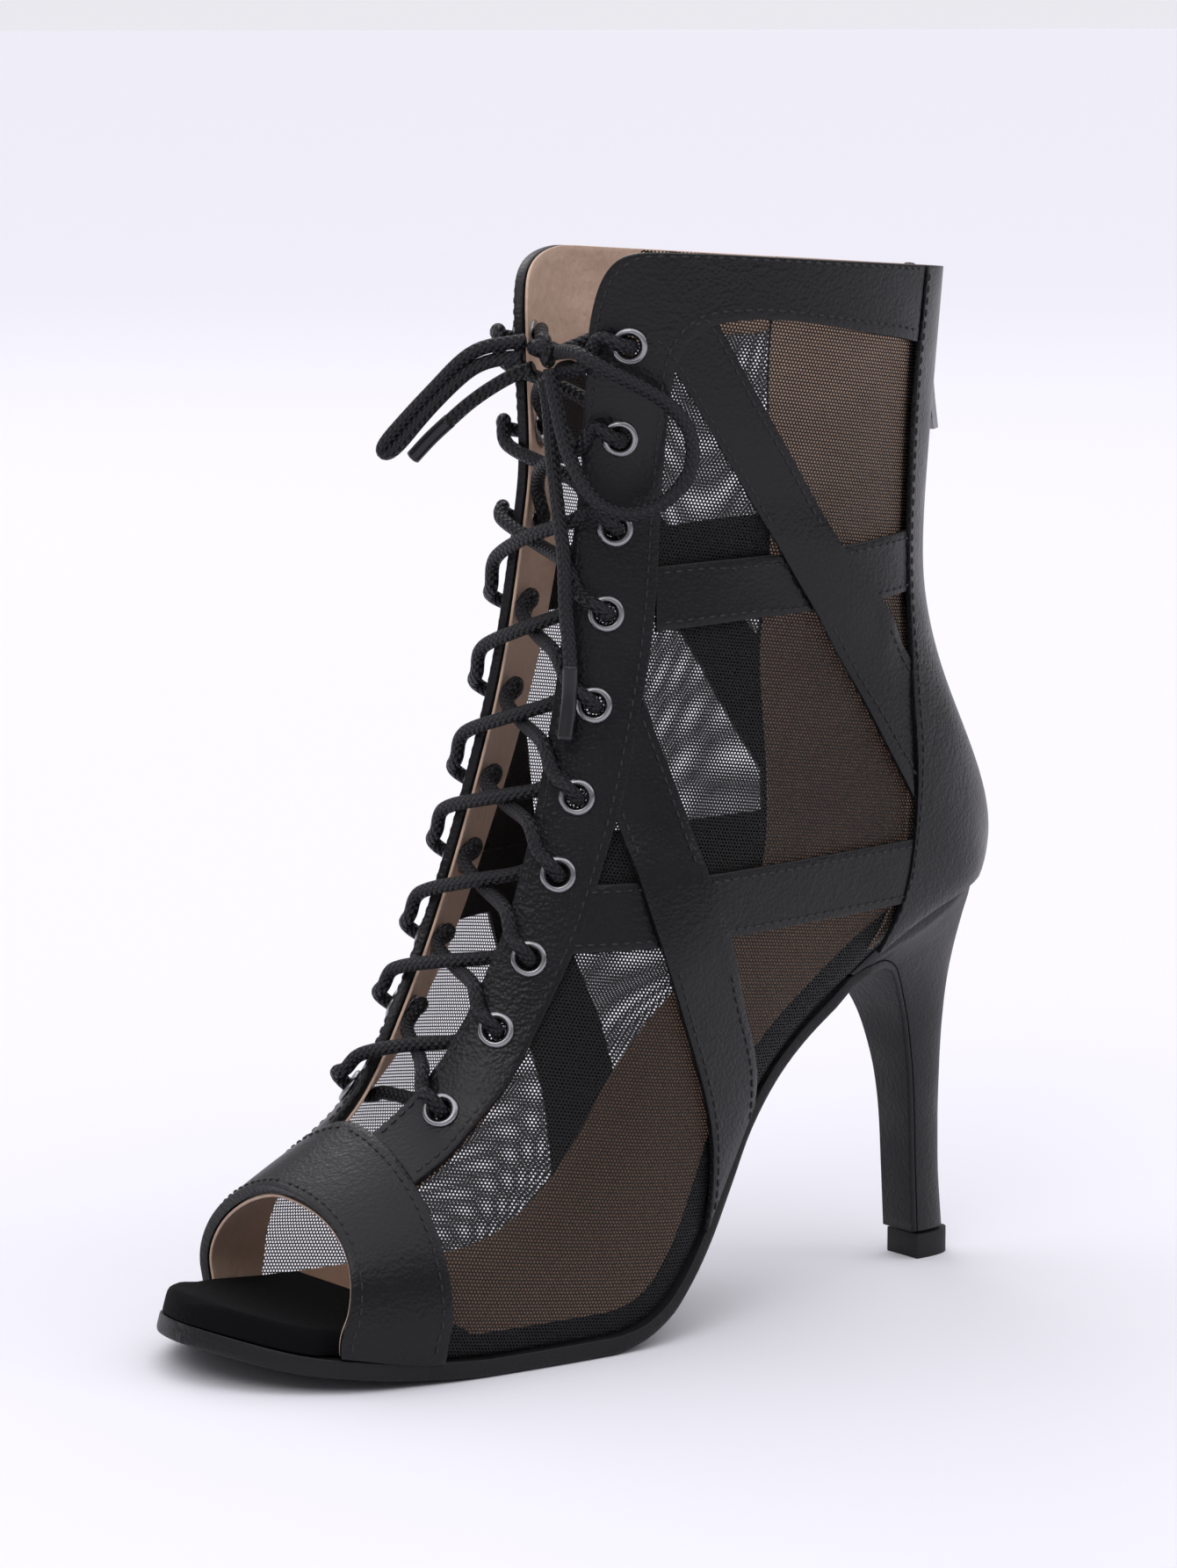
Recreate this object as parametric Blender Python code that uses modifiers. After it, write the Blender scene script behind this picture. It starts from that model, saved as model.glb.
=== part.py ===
"""Left ankle boot for latin dance: an open-toed net upper with leather straps, front lacing,
a back zip and a high slender heel. Metres, +Z up, toe along -X, outer side of the foot at -Y.
The origin is the centre of the heel's top piece, on the floor."""
import math

import bmesh
import bpy
import numpy as np
from mathutils import Matrix, Vector

# Driving sizes
LENGTH = 0.219            # heel back to toe tip, in plan
BALL_WIDTH = 0.0756       # across the ball, feather edge to feather edge
SEAT_RISE = 0.093         # forefoot to the back of the heel seat
SHAFT_RISE = 0.147        # heel seat to collar
SEAT_OVERHANG = 0.011     # heel back behind the centre of the top piece
SOLE_THICKNESS = 0.0042   # outsole under the forefoot
SHANK_THICKNESS = 0.0030  # outsole under the arch
COVER_THICKNESS = 0.0015  # outsole where it runs down the heel's front
SOLE_EDGE = 0.0016        # outsole beyond the feather edge
FOOTBED = 0.0058          # padded footbed
NET = 0.0010              # net and its binding
LEATHER = 0.0012          # facings, straps and back panel
BAND_LEATHER = 0.0015     # toe band, folded at both edges
GAP = 0.0003              # between pieces that touch
PANEL_LIFT = 0.0004       # of a panel's sheet over the last, so that its facets clear the net
EYELET_WIDTH = 0.0083     # eyelet's flange across
EYELET_BORE = 0.0046      # hole through an eyelet
EYELET_WALL = 0.0004
EYELET_FLANGE = 0.0008    # height of the rolled flange
LACE = 0.0032             # round waxed lace, across
ZIP_SLOT = 0.0094         # opening for the zip in the back panel
ZIP_TAPE = 0.0009
SLIDER_LENGTH = 0.0105
SLIDER_WIDTH = 0.0078
SLIDER_HEIGHT = 0.0022
PULL_LENGTH = 0.0250
PULL_WIDTH = 0.0070
PULL_THICKNESS = 0.0014
TOP_PIECE_HEIGHT = 0.0062
TOP_PIECE_LENGTH = 0.0124
TOP_PIECE_WIDTH = 0.0113

COLLAR_HEIGHT = SEAT_RISE + SHAFT_RISE
FEATHER = SOLE_THICKNESS + GAP
OUTER, INNER = -1, 1

# The sole's line. along: share of LENGTH from the heel back; rise: share of SEAT_RISE;
# outer, inner: feather edge from the middle, shares of BALL_WIDTH.
SOLE_LINE = [
    # along, rise, outer, inner
    (0.000, 1.000, 0.249, 0.249),
    (0.041, 0.956, 0.249, 0.249),
    (0.089, 0.921, 0.249, 0.249),
    (0.151, 0.873, 0.288, 0.284),
    (0.192, 0.828, 0.299, 0.291),
    (0.233, 0.769, 0.304, 0.288),
    (0.269, 0.710, 0.308, 0.278),
    (0.311, 0.643, 0.317, 0.265),
    (0.356, 0.557, 0.337, 0.258),
    (0.402, 0.430, 0.364, 0.265),
    (0.434, 0.306, 0.390, 0.282),
    (0.470, 0.183, 0.427, 0.311),
    (0.502, 0.102, 0.460, 0.347),
    (0.534, 0.043, 0.485, 0.384),
    (0.571, 0.009, 0.500, 0.423),
    (0.600, 0.000, 0.502, 0.450),
    (0.644, 0.000, 0.503, 0.483),
    (0.745, 0.000, 0.496, 0.496),
    (0.785, 0.005, 0.489, 0.487),
    (0.838, 0.016, 0.470, 0.463),
    (0.884, 0.029, 0.466, 0.460),
    (0.932, 0.044, 0.462, 0.458),
    (1.000, 0.088, 0.460, 0.457),
]
HEEL_ROUND_FROM = 0.089   # the plan rounds off to the heel back from here
TOE_ROUND_FROM = 0.820    # and to the toe tip from here

# The last's sections. Each is a slanting plane from the sole's line up to the front line.
# along: shares of LENGTH; up: shares of COLLAR_HEIGHT; girth: half width, share of BALL_WIDTH;
# bend: height of the greatest width; round: 2 is an ellipse, less is more pointed at the front.
FOOT = [
    # front_along, front_up, seat_along, outer_girth, inner_girth, bend, outer_round, inner_round
    (0.909, 0.142, 0.932, 0.370, 0.370, 0.40, 2.30, 1.70),
    (0.879, 0.160, 0.884, 0.443, 0.437, 0.30, 2.30, 1.65),
    (0.836, 0.185, 0.838, 0.489, 0.483, 0.26, 2.10, 1.65),
    (0.792, 0.210, 0.785, 0.509, 0.503, 0.24, 1.90, 1.65),
    (0.758, 0.242, 0.721, 0.516, 0.509, 0.26, 1.70, 1.60),
    (0.731, 0.288, 0.644, 0.516, 0.503, 0.28, 1.60, 1.55),
    (0.705, 0.354, 0.571, 0.509, 0.476, 0.30, 1.50, 1.50),
    (0.673, 0.433, 0.502, 0.489, 0.450, 0.33, 1.50, 1.55),
    (0.639, 0.521, 0.434, 0.463, 0.423, 0.38, 1.52, 1.60),
    (0.611, 0.604, 0.361, 0.437, 0.400, 0.42, 1.63, 1.66),
    (0.592, 0.679, 0.265, 0.414, 0.388, 0.42, 1.82, 1.79),
    (0.581, 0.742, 0.160, 0.396, 0.381, 0.42, 1.98, 1.92),
    (0.574, 0.783, 0.087, 0.386, 0.378, 0.42, 2.07, 2.01),
    (0.571, 0.808, 0.027, 0.381, 0.378, 0.42, 2.11, 2.05),
    (0.569, 0.829, 0.000, 0.379, 0.378, 0.42, 2.12, 2.07),
]
SHAFT = [
    # front_along, front_up, back_along, back_up, girth, bend, round
    (0.568, 0.850, 0.0035, 0.443, 0.380, 0.43, 2.09),
    (0.567, 0.875, 0.027, 0.497, 0.388, 0.45, 2.08),
    (0.565, 0.904, 0.072, 0.577, 0.403, 0.48, 2.05),
    (0.563, 0.938, 0.104, 0.700, 0.426, 0.50, 2.00),
    (0.563, 1.013, 0.080, 0.983, 0.450, 0.50, 2.00),
    (0.563, 1.054, 0.077, 1.025, 0.455, 0.50, 2.00),
]
LOWER_ROUND = 2.1         # roundness of a section below its greatest width
SEAT_ROW = len(FOOT) - 1  # from this section on, sections start on the back seam
COLLAR_ROW = SEAT_ROW + 5
BRIDGE_ROW = 3            # the throat opens behind this section

# Half of the throat's opening at each section from BRIDGE_ROW on, shares of BALL_WIDTH.
THROAT = [
    # section, outer, inner
    (3, 0.106, 0.106), (4, 0.130, 0.130), (5, 0.160, 0.150), (6, 0.180, 0.176), (7, 0.192, 0.192),
    (8, 0.184, 0.188), (9, 0.170, 0.180), (10, 0.158, 0.168), (11, 0.150, 0.160), (14, 0.148, 0.158),
    (16, 0.153, 0.160), (17, 0.166, 0.168), (18, 0.170, 0.172), (18.3, 0.180, 0.186),
    (18.6, 0.200, 0.222), (18.8, 0.228, 0.290), (18.92, 0.256, 0.345), (19, 0.290, 0.390),
]

# The toe opening's edge. turn: 0 at the feather, 1 on the middle line; section on each side.
TOE_EDGE = [
    # turn, outer, inner
    (0.00, 0.66, 1.50), (0.30, 0.62, 1.40), (0.55, 0.80, 1.22), (0.80, 0.97, 1.05), (1.00, 1.00, 1.00),
]

# Where the panels' edges lie in the side view. along: share of LENGTH from the heel back;
# up: share of COLLAR_HEIGHT. Both sides of the boot are alike.
FACING = [
    # edge_section, edge_turn (1: on the throat's edge), rear_along, rear_up
    (2.90, 1.000, 0.797, 0.171), (3.81, 1.000, 0.753, 0.192), (4.60, 1.000, 0.717, 0.221),
    (5.30, 1.000, 0.680, 0.254), (5.93, 1.000, 0.651, 0.294), (6.56, 1.000, 0.619, 0.342),
    (7.21, 1.000, 0.590, 0.392), (7.76, 1.000, 0.566, 0.448), (8.32, 1.000, 0.542, 0.508),
    (8.95, 1.000, 0.520, 0.575), (9.76, 1.000, 0.500, 0.646), (10.90, 1.000, 0.486, 0.721),
    (13.20, 1.000, 0.479, 0.792), (16.20, 1.000, 0.480, 0.854), (17.90, 1.000, 0.479, 0.892),
    (18.45, 1.000, 0.473, 0.914), (18.80, 1.000, 0.457, 0.933), (18.97, 0.780, 0.429, 0.943),
    (19.00, 0.660, 0.388, 0.945), (19.00, 0.540, 0.324, 0.938), (19.00, 0.424, 0.247, 0.927),
    (19.00, 0.285, 0.160, 0.916),
]
BACK_SEAM = [
    # up, along
    (0.290, 0.262), (0.313, 0.237), (0.333, 0.215), (0.379, 0.187), (0.425, 0.176), (0.479, 0.174),
    (0.529, 0.178), (0.592, 0.183), (0.746, 0.178), (0.854, 0.178), (0.988, 0.164), (1.040, 0.160),
]
BAND_REAR = [
    # turn, section
    (0.00, 2.69), (0.28, 2.69), (0.49, 2.81), (0.66, 2.81), (0.84, 2.88), (1.00, 3.00),
]
UPPER_BAR = [
    # top_along, top_up, low_along, low_up
    (0.490, 0.717, 0.495, 0.658), (0.324, 0.727, 0.324, 0.669), (0.172, 0.738, 0.172, 0.679),
]
LOWER_BAR = [
    # top_along, top_up, low_along, low_up
    (0.585, 0.429, 0.612, 0.367), (0.379, 0.435, 0.397, 0.373), (0.170, 0.442, 0.180, 0.379),
]
UPPER_DIAGONAL = [
    # rear_along, rear_up, front_along, front_up
    (0.438, 0.940, 0.479, 0.900), (0.397, 0.875, 0.434, 0.833), (0.342, 0.800, 0.379, 0.758),
    (0.292, 0.733, 0.324, 0.683), (0.228, 0.671, 0.256, 0.592), (0.196, 0.629, 0.215, 0.533),
    (0.178, 0.610, 0.178, 0.482),
]
LOWER_DIAGONAL = [
    # rear_along, rear_up, front_along, front_up
    (0.514, 0.596, 0.551, 0.488), (0.489, 0.513, 0.541, 0.446), (0.466, 0.433, 0.530, 0.396),
    (0.443, 0.375, 0.514, 0.338), (0.420, 0.313, 0.493, 0.279), (0.395, 0.246, 0.470, 0.217),
    (0.393, 0.221, 0.461, 0.171), (0.393, 0.206, 0.461, 0.133), (0.395, 0.192, 0.466, 0.096),
]
STRAPS = [
    # name, table, columns, bar that it rides over
    ("upper_bar", UPPER_BAR, 2, None), ("lower_bar", LOWER_BAR, 2, None),
    ("upper_diagonal", UPPER_DIAGONAL, 2, UPPER_BAR), ("lower_diagonal", LOWER_DIAGONAL, 2, LOWER_BAR),
]
EYELETS = [4.38, 6.06, 7.00, 7.88, 8.62, 9.56, 10.62, 12.31, 15.88, 18.12]  # sections, toe to collar
EYELET_PLACE = 0.50       # share of the facing's width from its rear edge
LOWEST_TURN = 0.07        # where panels stop short of the feather edge
BAND_LOW_TURN = 0.065
BAND_AHEAD = 0.10         # toe band ahead of the net's edge, in sections
PANEL_STEP = 0.0060       # rows of a panel's sheet
RISE_RAMP = 0.0095        # a strap that passes over another starts to climb so far from its edge
RISE_TOP = 0.0058         # and is fully up so far from it
ZIP_FOOT = 0.525          # height of the zip's lower end, share of COLLAR_HEIGHT
SLIDER_AT = 0.925         # height of the slider's middle, share of COLLAR_HEIGHT


def smooth(places, values, at):
    """Monotone cubic through the rows of values, so that a table never overshoots."""
    x = np.asarray(places, float)
    y = np.asarray(values, float)
    y = y.reshape(len(x), -1)
    width = np.diff(x)[:, None]
    slope = np.diff(y, axis=0) / width
    tangent = np.zeros_like(y)
    tangent[0], tangent[-1] = slope[0], slope[-1]
    for i in range(1, len(x) - 1):
        before, after = slope[i - 1], slope[i]
        same = before * after > 0
        w0 = 2 * width[i, 0] + width[i - 1, 0]
        w1 = width[i, 0] + 2 * width[i - 1, 0]
        safe_before = np.where(same, before, 1.0)
        safe_after = np.where(same, after, 1.0)
        tangent[i] = np.where(same, (w0 + w1) / (w0 / safe_before + w1 / safe_after), 0.0)
    i = int(np.clip(np.searchsorted(x, at, side="right") - 1, 0, len(x) - 2))
    t = float(np.clip((at - x[i]) / (x[i + 1] - x[i]), 0.0, 1.0))
    w = width[i, 0]
    return ((2 * t**3 - 3 * t**2 + 1) * y[i] + (t**3 - 2 * t**2 + t) * w * tangent[i]
            + (3 * t**2 - 2 * t**3) * y[i + 1] + (t**3 - t**2) * w * tangent[i + 1])


def x_at(along):
    """World X of a share of LENGTH measured from the heel back."""
    return SEAT_OVERHANG - along * LENGTH


SOLE_PLACES = [row[0] for row in SOLE_LINE]
SOLE_VALUES = [row[1:] for row in SOLE_LINE]


def feather_z(along):
    """Height of the upper's lower edge."""
    return FEATHER + SEAT_RISE * float(smooth(SOLE_PLACES, SOLE_VALUES, along)[0])


def half_plan(along, side):
    """Feather edge's distance from the middle line, rounded off at heel and toe."""
    values = smooth(SOLE_PLACES, SOLE_VALUES, along)
    half = BALL_WIDTH * float(values[1] if side == OUTER else values[2])
    if along < HEEL_ROUND_FROM:
        u = min(1.0, (HEEL_ROUND_FROM - along) / HEEL_ROUND_FROM)
        half *= (1 - u * u) ** 0.65
    if along > TOE_ROUND_FROM:
        u = min(1.0, (along - TOE_ROUND_FROM) / (1 - TOE_ROUND_FROM))
        half *= (1 - u**2.3) ** 0.62
    return half


def last_rows():
    """Both tables of sections as one array, with the seat's height worked out."""
    rows = []
    for front_along, front_up, seat_along, outer, inner, bend, outer_round, inner_round in FOOT:
        back_up = feather_z(seat_along) / COLLAR_HEIGHT
        rows.append((front_along, front_up, seat_along, back_up, outer, inner, bend,
                     outer_round, inner_round))
    for front_along, front_up, back_along, back_up, girth, bend, pointed in SHAFT:
        rows.append((front_along, front_up, back_along, back_up, girth, girth, bend,
                     pointed, pointed))
    return np.array(rows)


LAST = last_rows()
SECTIONS = {}


def section(s):
    """One section: front point, back point, and the numbers of both half curves."""
    key = round(s, 5)
    if key not in SECTIONS:
        row = smooth(range(len(LAST)), LAST, s)
        front = (x_at(row[0]), row[1] * COLLAR_HEIGHT)
        back = (x_at(row[2]), row[3] * COLLAR_HEIGHT)
        feet = {OUTER: 0.0, INNER: 0.0}
        if s < SEAT_ROW:
            back = (back[0], feather_z(row[2]))
            feet = {side: half_plan(row[2], side) for side in feet}
        girth = {OUTER: row[4] * BALL_WIDTH, INNER: row[5] * BALL_WIDTH}
        pointed = {OUTER: row[7], INNER: row[8]}
        SECTIONS[key] = (front, back, feet, girth, float(row[6]), pointed)
    return SECTIONS[key]


def skin_point(s, turn, side):
    """A point of the last: turn 0 is the feather edge or back seam, 1 the middle of the front."""
    front, back, feet, girth, bend, pointed = section(s)
    foot, wide, n = feet[side], max(girth[side], feet[side]), pointed[side]
    angle = math.pi * min(max(turn, 0.0), 1.0)
    if angle <= math.pi / 2:
        h = bend * (1 - max(math.cos(angle), 0.0) ** (2 / LOWER_ROUND))
        y = foot + (wide - foot) * math.sin(angle) ** (2 / LOWER_ROUND)
    else:
        rest = angle - math.pi / 2
        h = bend + (1 - bend) * math.sin(rest) ** (2 / n)
        y = wide * max(math.cos(rest), 0.0) ** (2 / n)
    return Vector((back[0] + (front[0] - back[0]) * h, side * y, back[1] + (front[1] - back[1]) * h))


def skin_normal(s, turn, side):
    """Outward direction, kept level where the upper turns in under the foot."""
    turn = max(turn, 0.05) if s < SEAT_ROW else turn
    ds, dt = 0.03, 0.012
    s0, s1 = max(s - ds, 0.0), min(s + ds, len(LAST) - 1.0)
    t0, t1 = max(turn - dt, 0.0), min(turn + dt, 1.0)
    along = skin_point(s1, turn, side) - skin_point(s0, turn, side)
    across = skin_point(s, t1, side) - skin_point(s, t0, side)
    normal = along.cross(across) if side == OUTER else across.cross(along)
    if turn >= 1.0 or (turn <= 0.0 and s >= SEAT_ROW):
        normal.y = 0.0
    if s < SEAT_ROW:
        normal.z = max(normal.z, 0.0)
    return normal.normalized()


def skin(s, turn, side, lift=0.0):
    """A point at the distance lift outside the last."""
    return skin_point(s, turn, side) + skin_normal(s, turn, side) * lift


def turn_at_height(s, h, side):
    """The turn at which a section reaches the share h of its way to the front."""
    bend, n = section(s)[4], section(s)[5][side]
    h = min(max(h, 0.0), 1.0)
    if h <= bend:
        return math.acos((1 - h / bend) ** (LOWER_ROUND / 2)) / math.pi
    return 0.5 + math.asin(((h - bend) / (1 - bend)) ** (n / 2)) / math.pi


def turn_at_gap(s, gap, side):
    """The turn at which the front half of a section is the distance gap from the middle."""
    girth, n = section(s)[3][side], section(s)[5][side]
    return 0.5 + math.acos(min(gap / girth, 1.0) ** (n / 2)) / math.pi


def throat_turn(s, side):
    """The throat's edge on a section."""
    gaps = smooth([row[0] for row in THROAT], [row[1:] for row in THROAT], s)
    return turn_at_gap(s, BALL_WIDTH * float(gaps[0] if side == OUTER else gaps[1]), side)


def toe_section(turn, side):
    """The section at which the toe opening's edge crosses this turn."""
    values = smooth([r[0] for r in TOE_EDGE], [r[1:] for r in TOE_EDGE], turn)
    return float(values[0] if side == OUTER else values[1])


def material(name, colour, roughness, metallic=0.0):
    """A Principled material."""
    made = bpy.data.materials.new(name)
    made.use_nodes = True
    shader = made.node_tree.nodes["Principled BSDF"]
    shader.inputs["Base Color"].default_value = (*colour, 1.0)
    shader.inputs["Roughness"].default_value = roughness
    shader.inputs["Metallic"].default_value = metallic
    return made


def add_mesh(name, verts, faces, made_of):
    """An object in the boot's collection, its faces turned to one side."""
    mesh = bpy.data.meshes.new(name)
    mesh.from_pydata([tuple(v) for v in verts], [], faces)
    mesh.materials.append(made_of)
    mesh.shade_smooth()
    thing = bpy.data.objects.new(name, mesh)
    bpy.data.collections["dance_boot"].objects.link(thing)
    return thing


def turn_outward(thing):
    """Point a closed mesh's faces outward."""
    bm = bmesh.new()
    bm.from_mesh(thing.data)
    bmesh.ops.recalc_face_normals(bm, faces=bm.faces)
    bm.to_mesh(thing.data)
    bm.free()


def solidify(thing, thickness, outward):
    """Give an open sheet its thickness, away from or toward the foot."""
    shell = thing.modifiers.new("thickness", "SOLIDIFY")
    shell.thickness = thickness
    shell.offset = 1.0 if outward else -1.0
    shell.use_rim = True
    return shell


def sheet(name, places, cells, lift, thickness, outward, made_of):
    """An open sheet on the last from named places (section, turn, side), then Solidify.

    lift is one height over the last, or a height for each place."""
    keys = list(places)
    number = {key: i for i, key in enumerate(keys)}
    lifts = lift if isinstance(lift, dict) else dict.fromkeys(keys, lift)
    verts = [skin(*places[key], lifts[key]) for key in keys]
    thing = add_mesh(name, verts, [[number[key] for key in cell] for cell in cells], made_of)
    solidify(thing, thickness, outward)
    return thing


def end_strips(first, count):
    """Faces across one end of a loft, each between matching points of its two sides."""
    faces = []
    for j in range(count // 2):
        corners = [first + j, first + j + 1, first + count - 2 - j, first + count - 1 - j]
        faces.append(list(dict.fromkeys(corners)))
    return [face for face in faces if len(face) > 2]


def loft(name, rings, made_of):
    """A closed solid through rings with equal counts of points, closed at both ends."""
    count = len(rings[0])
    verts = [p for ring in rings for p in ring]
    faces = [face[::-1] for face in end_strips(0, count)] + end_strips((len(rings) - 1) * count, count)
    for i in range(len(rings) - 1):
        for j in range(count):
            k = (j + 1) % count
            faces.append([i * count + j, i * count + k, (i + 1) * count + k, (i + 1) * count + j])
    thing = add_mesh(name, verts, faces, made_of)
    turn_outward(thing)
    return thing


UPPER_COLUMNS = 10        # sheet columns from the feather to the throat
BRIDGE_COLUMNS = 3        # more columns over the toes, where the upper closes
TOE_ROWS = 5
ROW_SPACING = 0.0082      # mean of a row's steps along the front line and the back line
ROW_LOOK = 0.05           # share of a section walked at a time when rows are placed


def spread(count, start, stop):
    """Evenly spaced values with both ends."""
    return [start + (stop - start) * i / count for i in range(count + 1)]


def row_walk(start, stop):
    """Sections from start to stop and the mean way walked to each along the front and the back."""
    steps = round((stop - start) / ROW_LOOK)
    at = spread(steps, start, stop)
    way = [0.0]
    for s0, s1 in zip(at, at[1:]):
        (front0, back0), (front1, back1) = section(s0)[:2], section(s1)[:2]
        way.append(way[-1] + (math.dist(front0, front1) + math.dist(back0, back1)) / 2)
    return at, way


def even_rows(start, stop):
    """Rows of a sheet between two sections, evenly spaced on the last."""
    at, way = row_walk(start, stop)
    count = max(2, round(way[-1] / ROW_SPACING))
    return [float(s) for s in np.interp(np.linspace(0.0, way[-1], count + 1), way, at)]


def upper_grid():
    """Places and cells of the net upper: toe rows bridge the front, the rest end at the throat."""
    places, cells = {}, []
    columns = UPPER_COLUMNS + BRIDGE_COLUMNS
    open_rows = even_rows(BRIDGE_ROW, SEAT_ROW) + even_rows(SEAT_ROW, COLLAR_ROW)[1:]
    rows = len(open_rows) - 1

    def key(i, j, side):
        on_seam = j == 0 and i >= TOE_ROWS and open_rows[i - TOE_ROWS] >= SEAT_ROW
        return (i, j) if j == columns or on_seam else (i, j, side)

    for side in (OUTER, INNER):
        corner = throat_turn(BRIDGE_ROW, side)
        turns = spread(UPPER_COLUMNS, 0.0, corner) + spread(BRIDGE_COLUMNS, corner, 1.0)[1:]
        for i in range(TOE_ROWS):
            for j, turn in enumerate(turns):
                start = toe_section(turn, side)
                s = start + (BRIDGE_ROW - start) * i / TOE_ROWS
                places[key(i, j, side)] = (s, turn, side)
        for i, s in enumerate(open_rows):
            edge = throat_turn(s, side)
            limits = turns if i == 0 else spread(UPPER_COLUMNS, 0.0, edge)
            for j, turn in enumerate(limits):
                places[key(i + TOE_ROWS, j, side)] = (s, turn, side)
        for i in range(TOE_ROWS + rows):
            for j in range(columns if i < TOE_ROWS else UPPER_COLUMNS):
                corners = [key(i, j, side), key(i + 1, j, side), key(i + 1, j + 1, side), key(i, j + 1, side)]
                corners = list(dict.fromkeys(corners))
                cells.append(corners if side == OUTER else corners[::-1])
    return places, cells


def build_upper(made_of):
    """The net upper, one hollow wall open at toe, throat and collar and over the sole."""
    places, cells = upper_grid()
    return sheet("upper", places, cells, 0.0, NET, False, made_of)


# The heel. Front points follow the outsole's cover, back points the heel's back line.
# x: shares of LENGTH from the top piece's centre; z: shares of SEAT_RISE; half: share of BALL_WIDTH.
HEEL = [
    # front_x, front_z, back_x, back_z, half
    (-0.1826, 0.768, 0.0480, 1.030, 0.306),
    (-0.1575, 0.789, 0.0495, 1.005, 0.290),
    (-0.1301, 0.796, 0.0480, 0.965, 0.252),
    (-0.1050, 0.781, 0.0410, 0.900, 0.205),
    (-0.0868, 0.742, 0.0320, 0.818, 0.165),
    (-0.0744, 0.694, 0.0247, 0.735, 0.137),
    (-0.0630, 0.634, 0.0201, 0.652, 0.116),
    (-0.0539, 0.559, 0.0174, 0.570, 0.100),
    (-0.0466, 0.473, 0.0160, 0.480, 0.088),
    (-0.0420, 0.366, 0.0152, 0.372, 0.080),
    (-0.0393, 0.237, 0.0160, 0.240, 0.077),
    (-0.0356, 0.0720, 0.0220, 0.0720, 0.076),
]
HEEL_SIDES = 12
TOE_OPEN_AT = 0.928       # ahead of here the footbed reaches the sole's edge


def breast_points():
    """The cover's front face and the outward direction there, from the arch to the top piece."""
    points = [Vector((row[0] * LENGTH, 0.0, row[1] * SEAT_RISE)) for row in HEEL]
    directions = []
    for i in range(len(points)):
        ahead = points[min(i + 1, len(points) - 1)] - points[max(i - 1, 0)]
        directions.append(Vector((-ahead.z, 0.0, ahead.x)).normalized())
    return points, directions


TOE_ROW_CLEAR = 0.01      # least step from the toe's last row to the next, share of LENGTH


def sole_stations():
    """Shares of LENGTH at which outsole and footbed have their rows, toe tip to heel breast."""
    toe = []
    for i in range(8):
        bend = math.cos(i / 8 * math.pi / 2)
        toe.append(TOE_ROUND_FROM + (1 - TOE_ROUND_FROM) * bend)
    middle = []
    for i in range(len(SOLE_LINE) - 2, 5, -1):
        here, following = SOLE_LINE[i][0], SOLE_LINE[i - 1][0]
        middle.append(here)
        if i > 6 and here - following > 0.02:
            middle.append((here + following) / 2)
    return toe + [along for along in middle if along < toe[-1] - TOE_ROW_CLEAR]


def sole_frame(along):
    """A point on the sole's line and the upward direction across it."""
    step = 0.002
    behind, ahead = max(along - step, 0.0), min(along + step, 1.0)
    slope = Vector((x_at(behind) - x_at(ahead), 0.0, feather_z(behind) - feather_z(ahead)))
    return Vector((x_at(along), 0.0, feather_z(along))), Vector((-slope.z, 0.0, slope.x)).normalized()


def sole_path():
    """Rows of the outsole: top point, bottom point and half widths, from toe tip to top piece."""
    path = []
    for along in sole_stations():
        seat, up = sole_frame(along)
        top = seat - up * GAP
        down = -up
        share = min(max((along - 0.50) / 0.10, 0.0), 1.0)
        thickness = SHANK_THICKNESS + (SOLE_THICKNESS - SHANK_THICKNESS) * share
        halves = {side: half_plan(along, side) + SOLE_EDGE for side in (OUTER, INNER)}
        path.append((top, top + down * thickness, halves))
    points, directions = breast_points()
    for i, row in enumerate(HEEL):
        share = max(0.0, 1 - i / 4)
        thickness = COVER_THICKNESS + (SHANK_THICKNESS - COVER_THICKNESS) * share
        half = row[4] * BALL_WIDTH
        path.append((points[i] + directions[i] * thickness, points[i], {OUTER: half, INNER: half}))
    return path


def build_outsole(made_of):
    """The outsole, which turns down the front of the heel as its cover."""
    rings = []
    for top, bottom, halves in sole_path():
        rings.append([top + Vector((0, -halves[OUTER], 0)), top + Vector((0, halves[INNER], 0)),
                      bottom + Vector((0, halves[INNER], 0)), bottom + Vector((0, -halves[OUTER], 0))])
    return loft("outsole", rings, made_of)


def build_heel(made_of):
    """The covered heel: D-shaped rings from the top piece up to the seat."""
    points, directions = breast_points()
    rings = []
    for i, row in enumerate(HEEL):
        share = max(0.0, 1 - i / 4)
        thickness = COVER_THICKNESS + (SHANK_THICKNESS - COVER_THICKNESS) * share
        front = points[i] + directions[i] * (thickness + GAP)
        back = Vector((row[2] * LENGTH, 0.0, row[3] * SEAT_RISE))
        ring = []
        for j in range(HEEL_SIDES + 1):
            angle = math.pi * (j / HEEL_SIDES - 0.5)
            share_back = math.cos(angle)
            x = front.x + (back.x - front.x) * share_back
            z = front.z + (back.z - front.z) * share_back
            y = row[4] * BALL_WIDTH * math.sin(angle)
            if i == 0:
                along = (SEAT_OVERHANG - x) / LENGTH
                z = feather_z(along) - GAP
            ring.append(Vector((x, y, z)))
        rings.append(ring)
    return loft("heel", rings, made_of)


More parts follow.
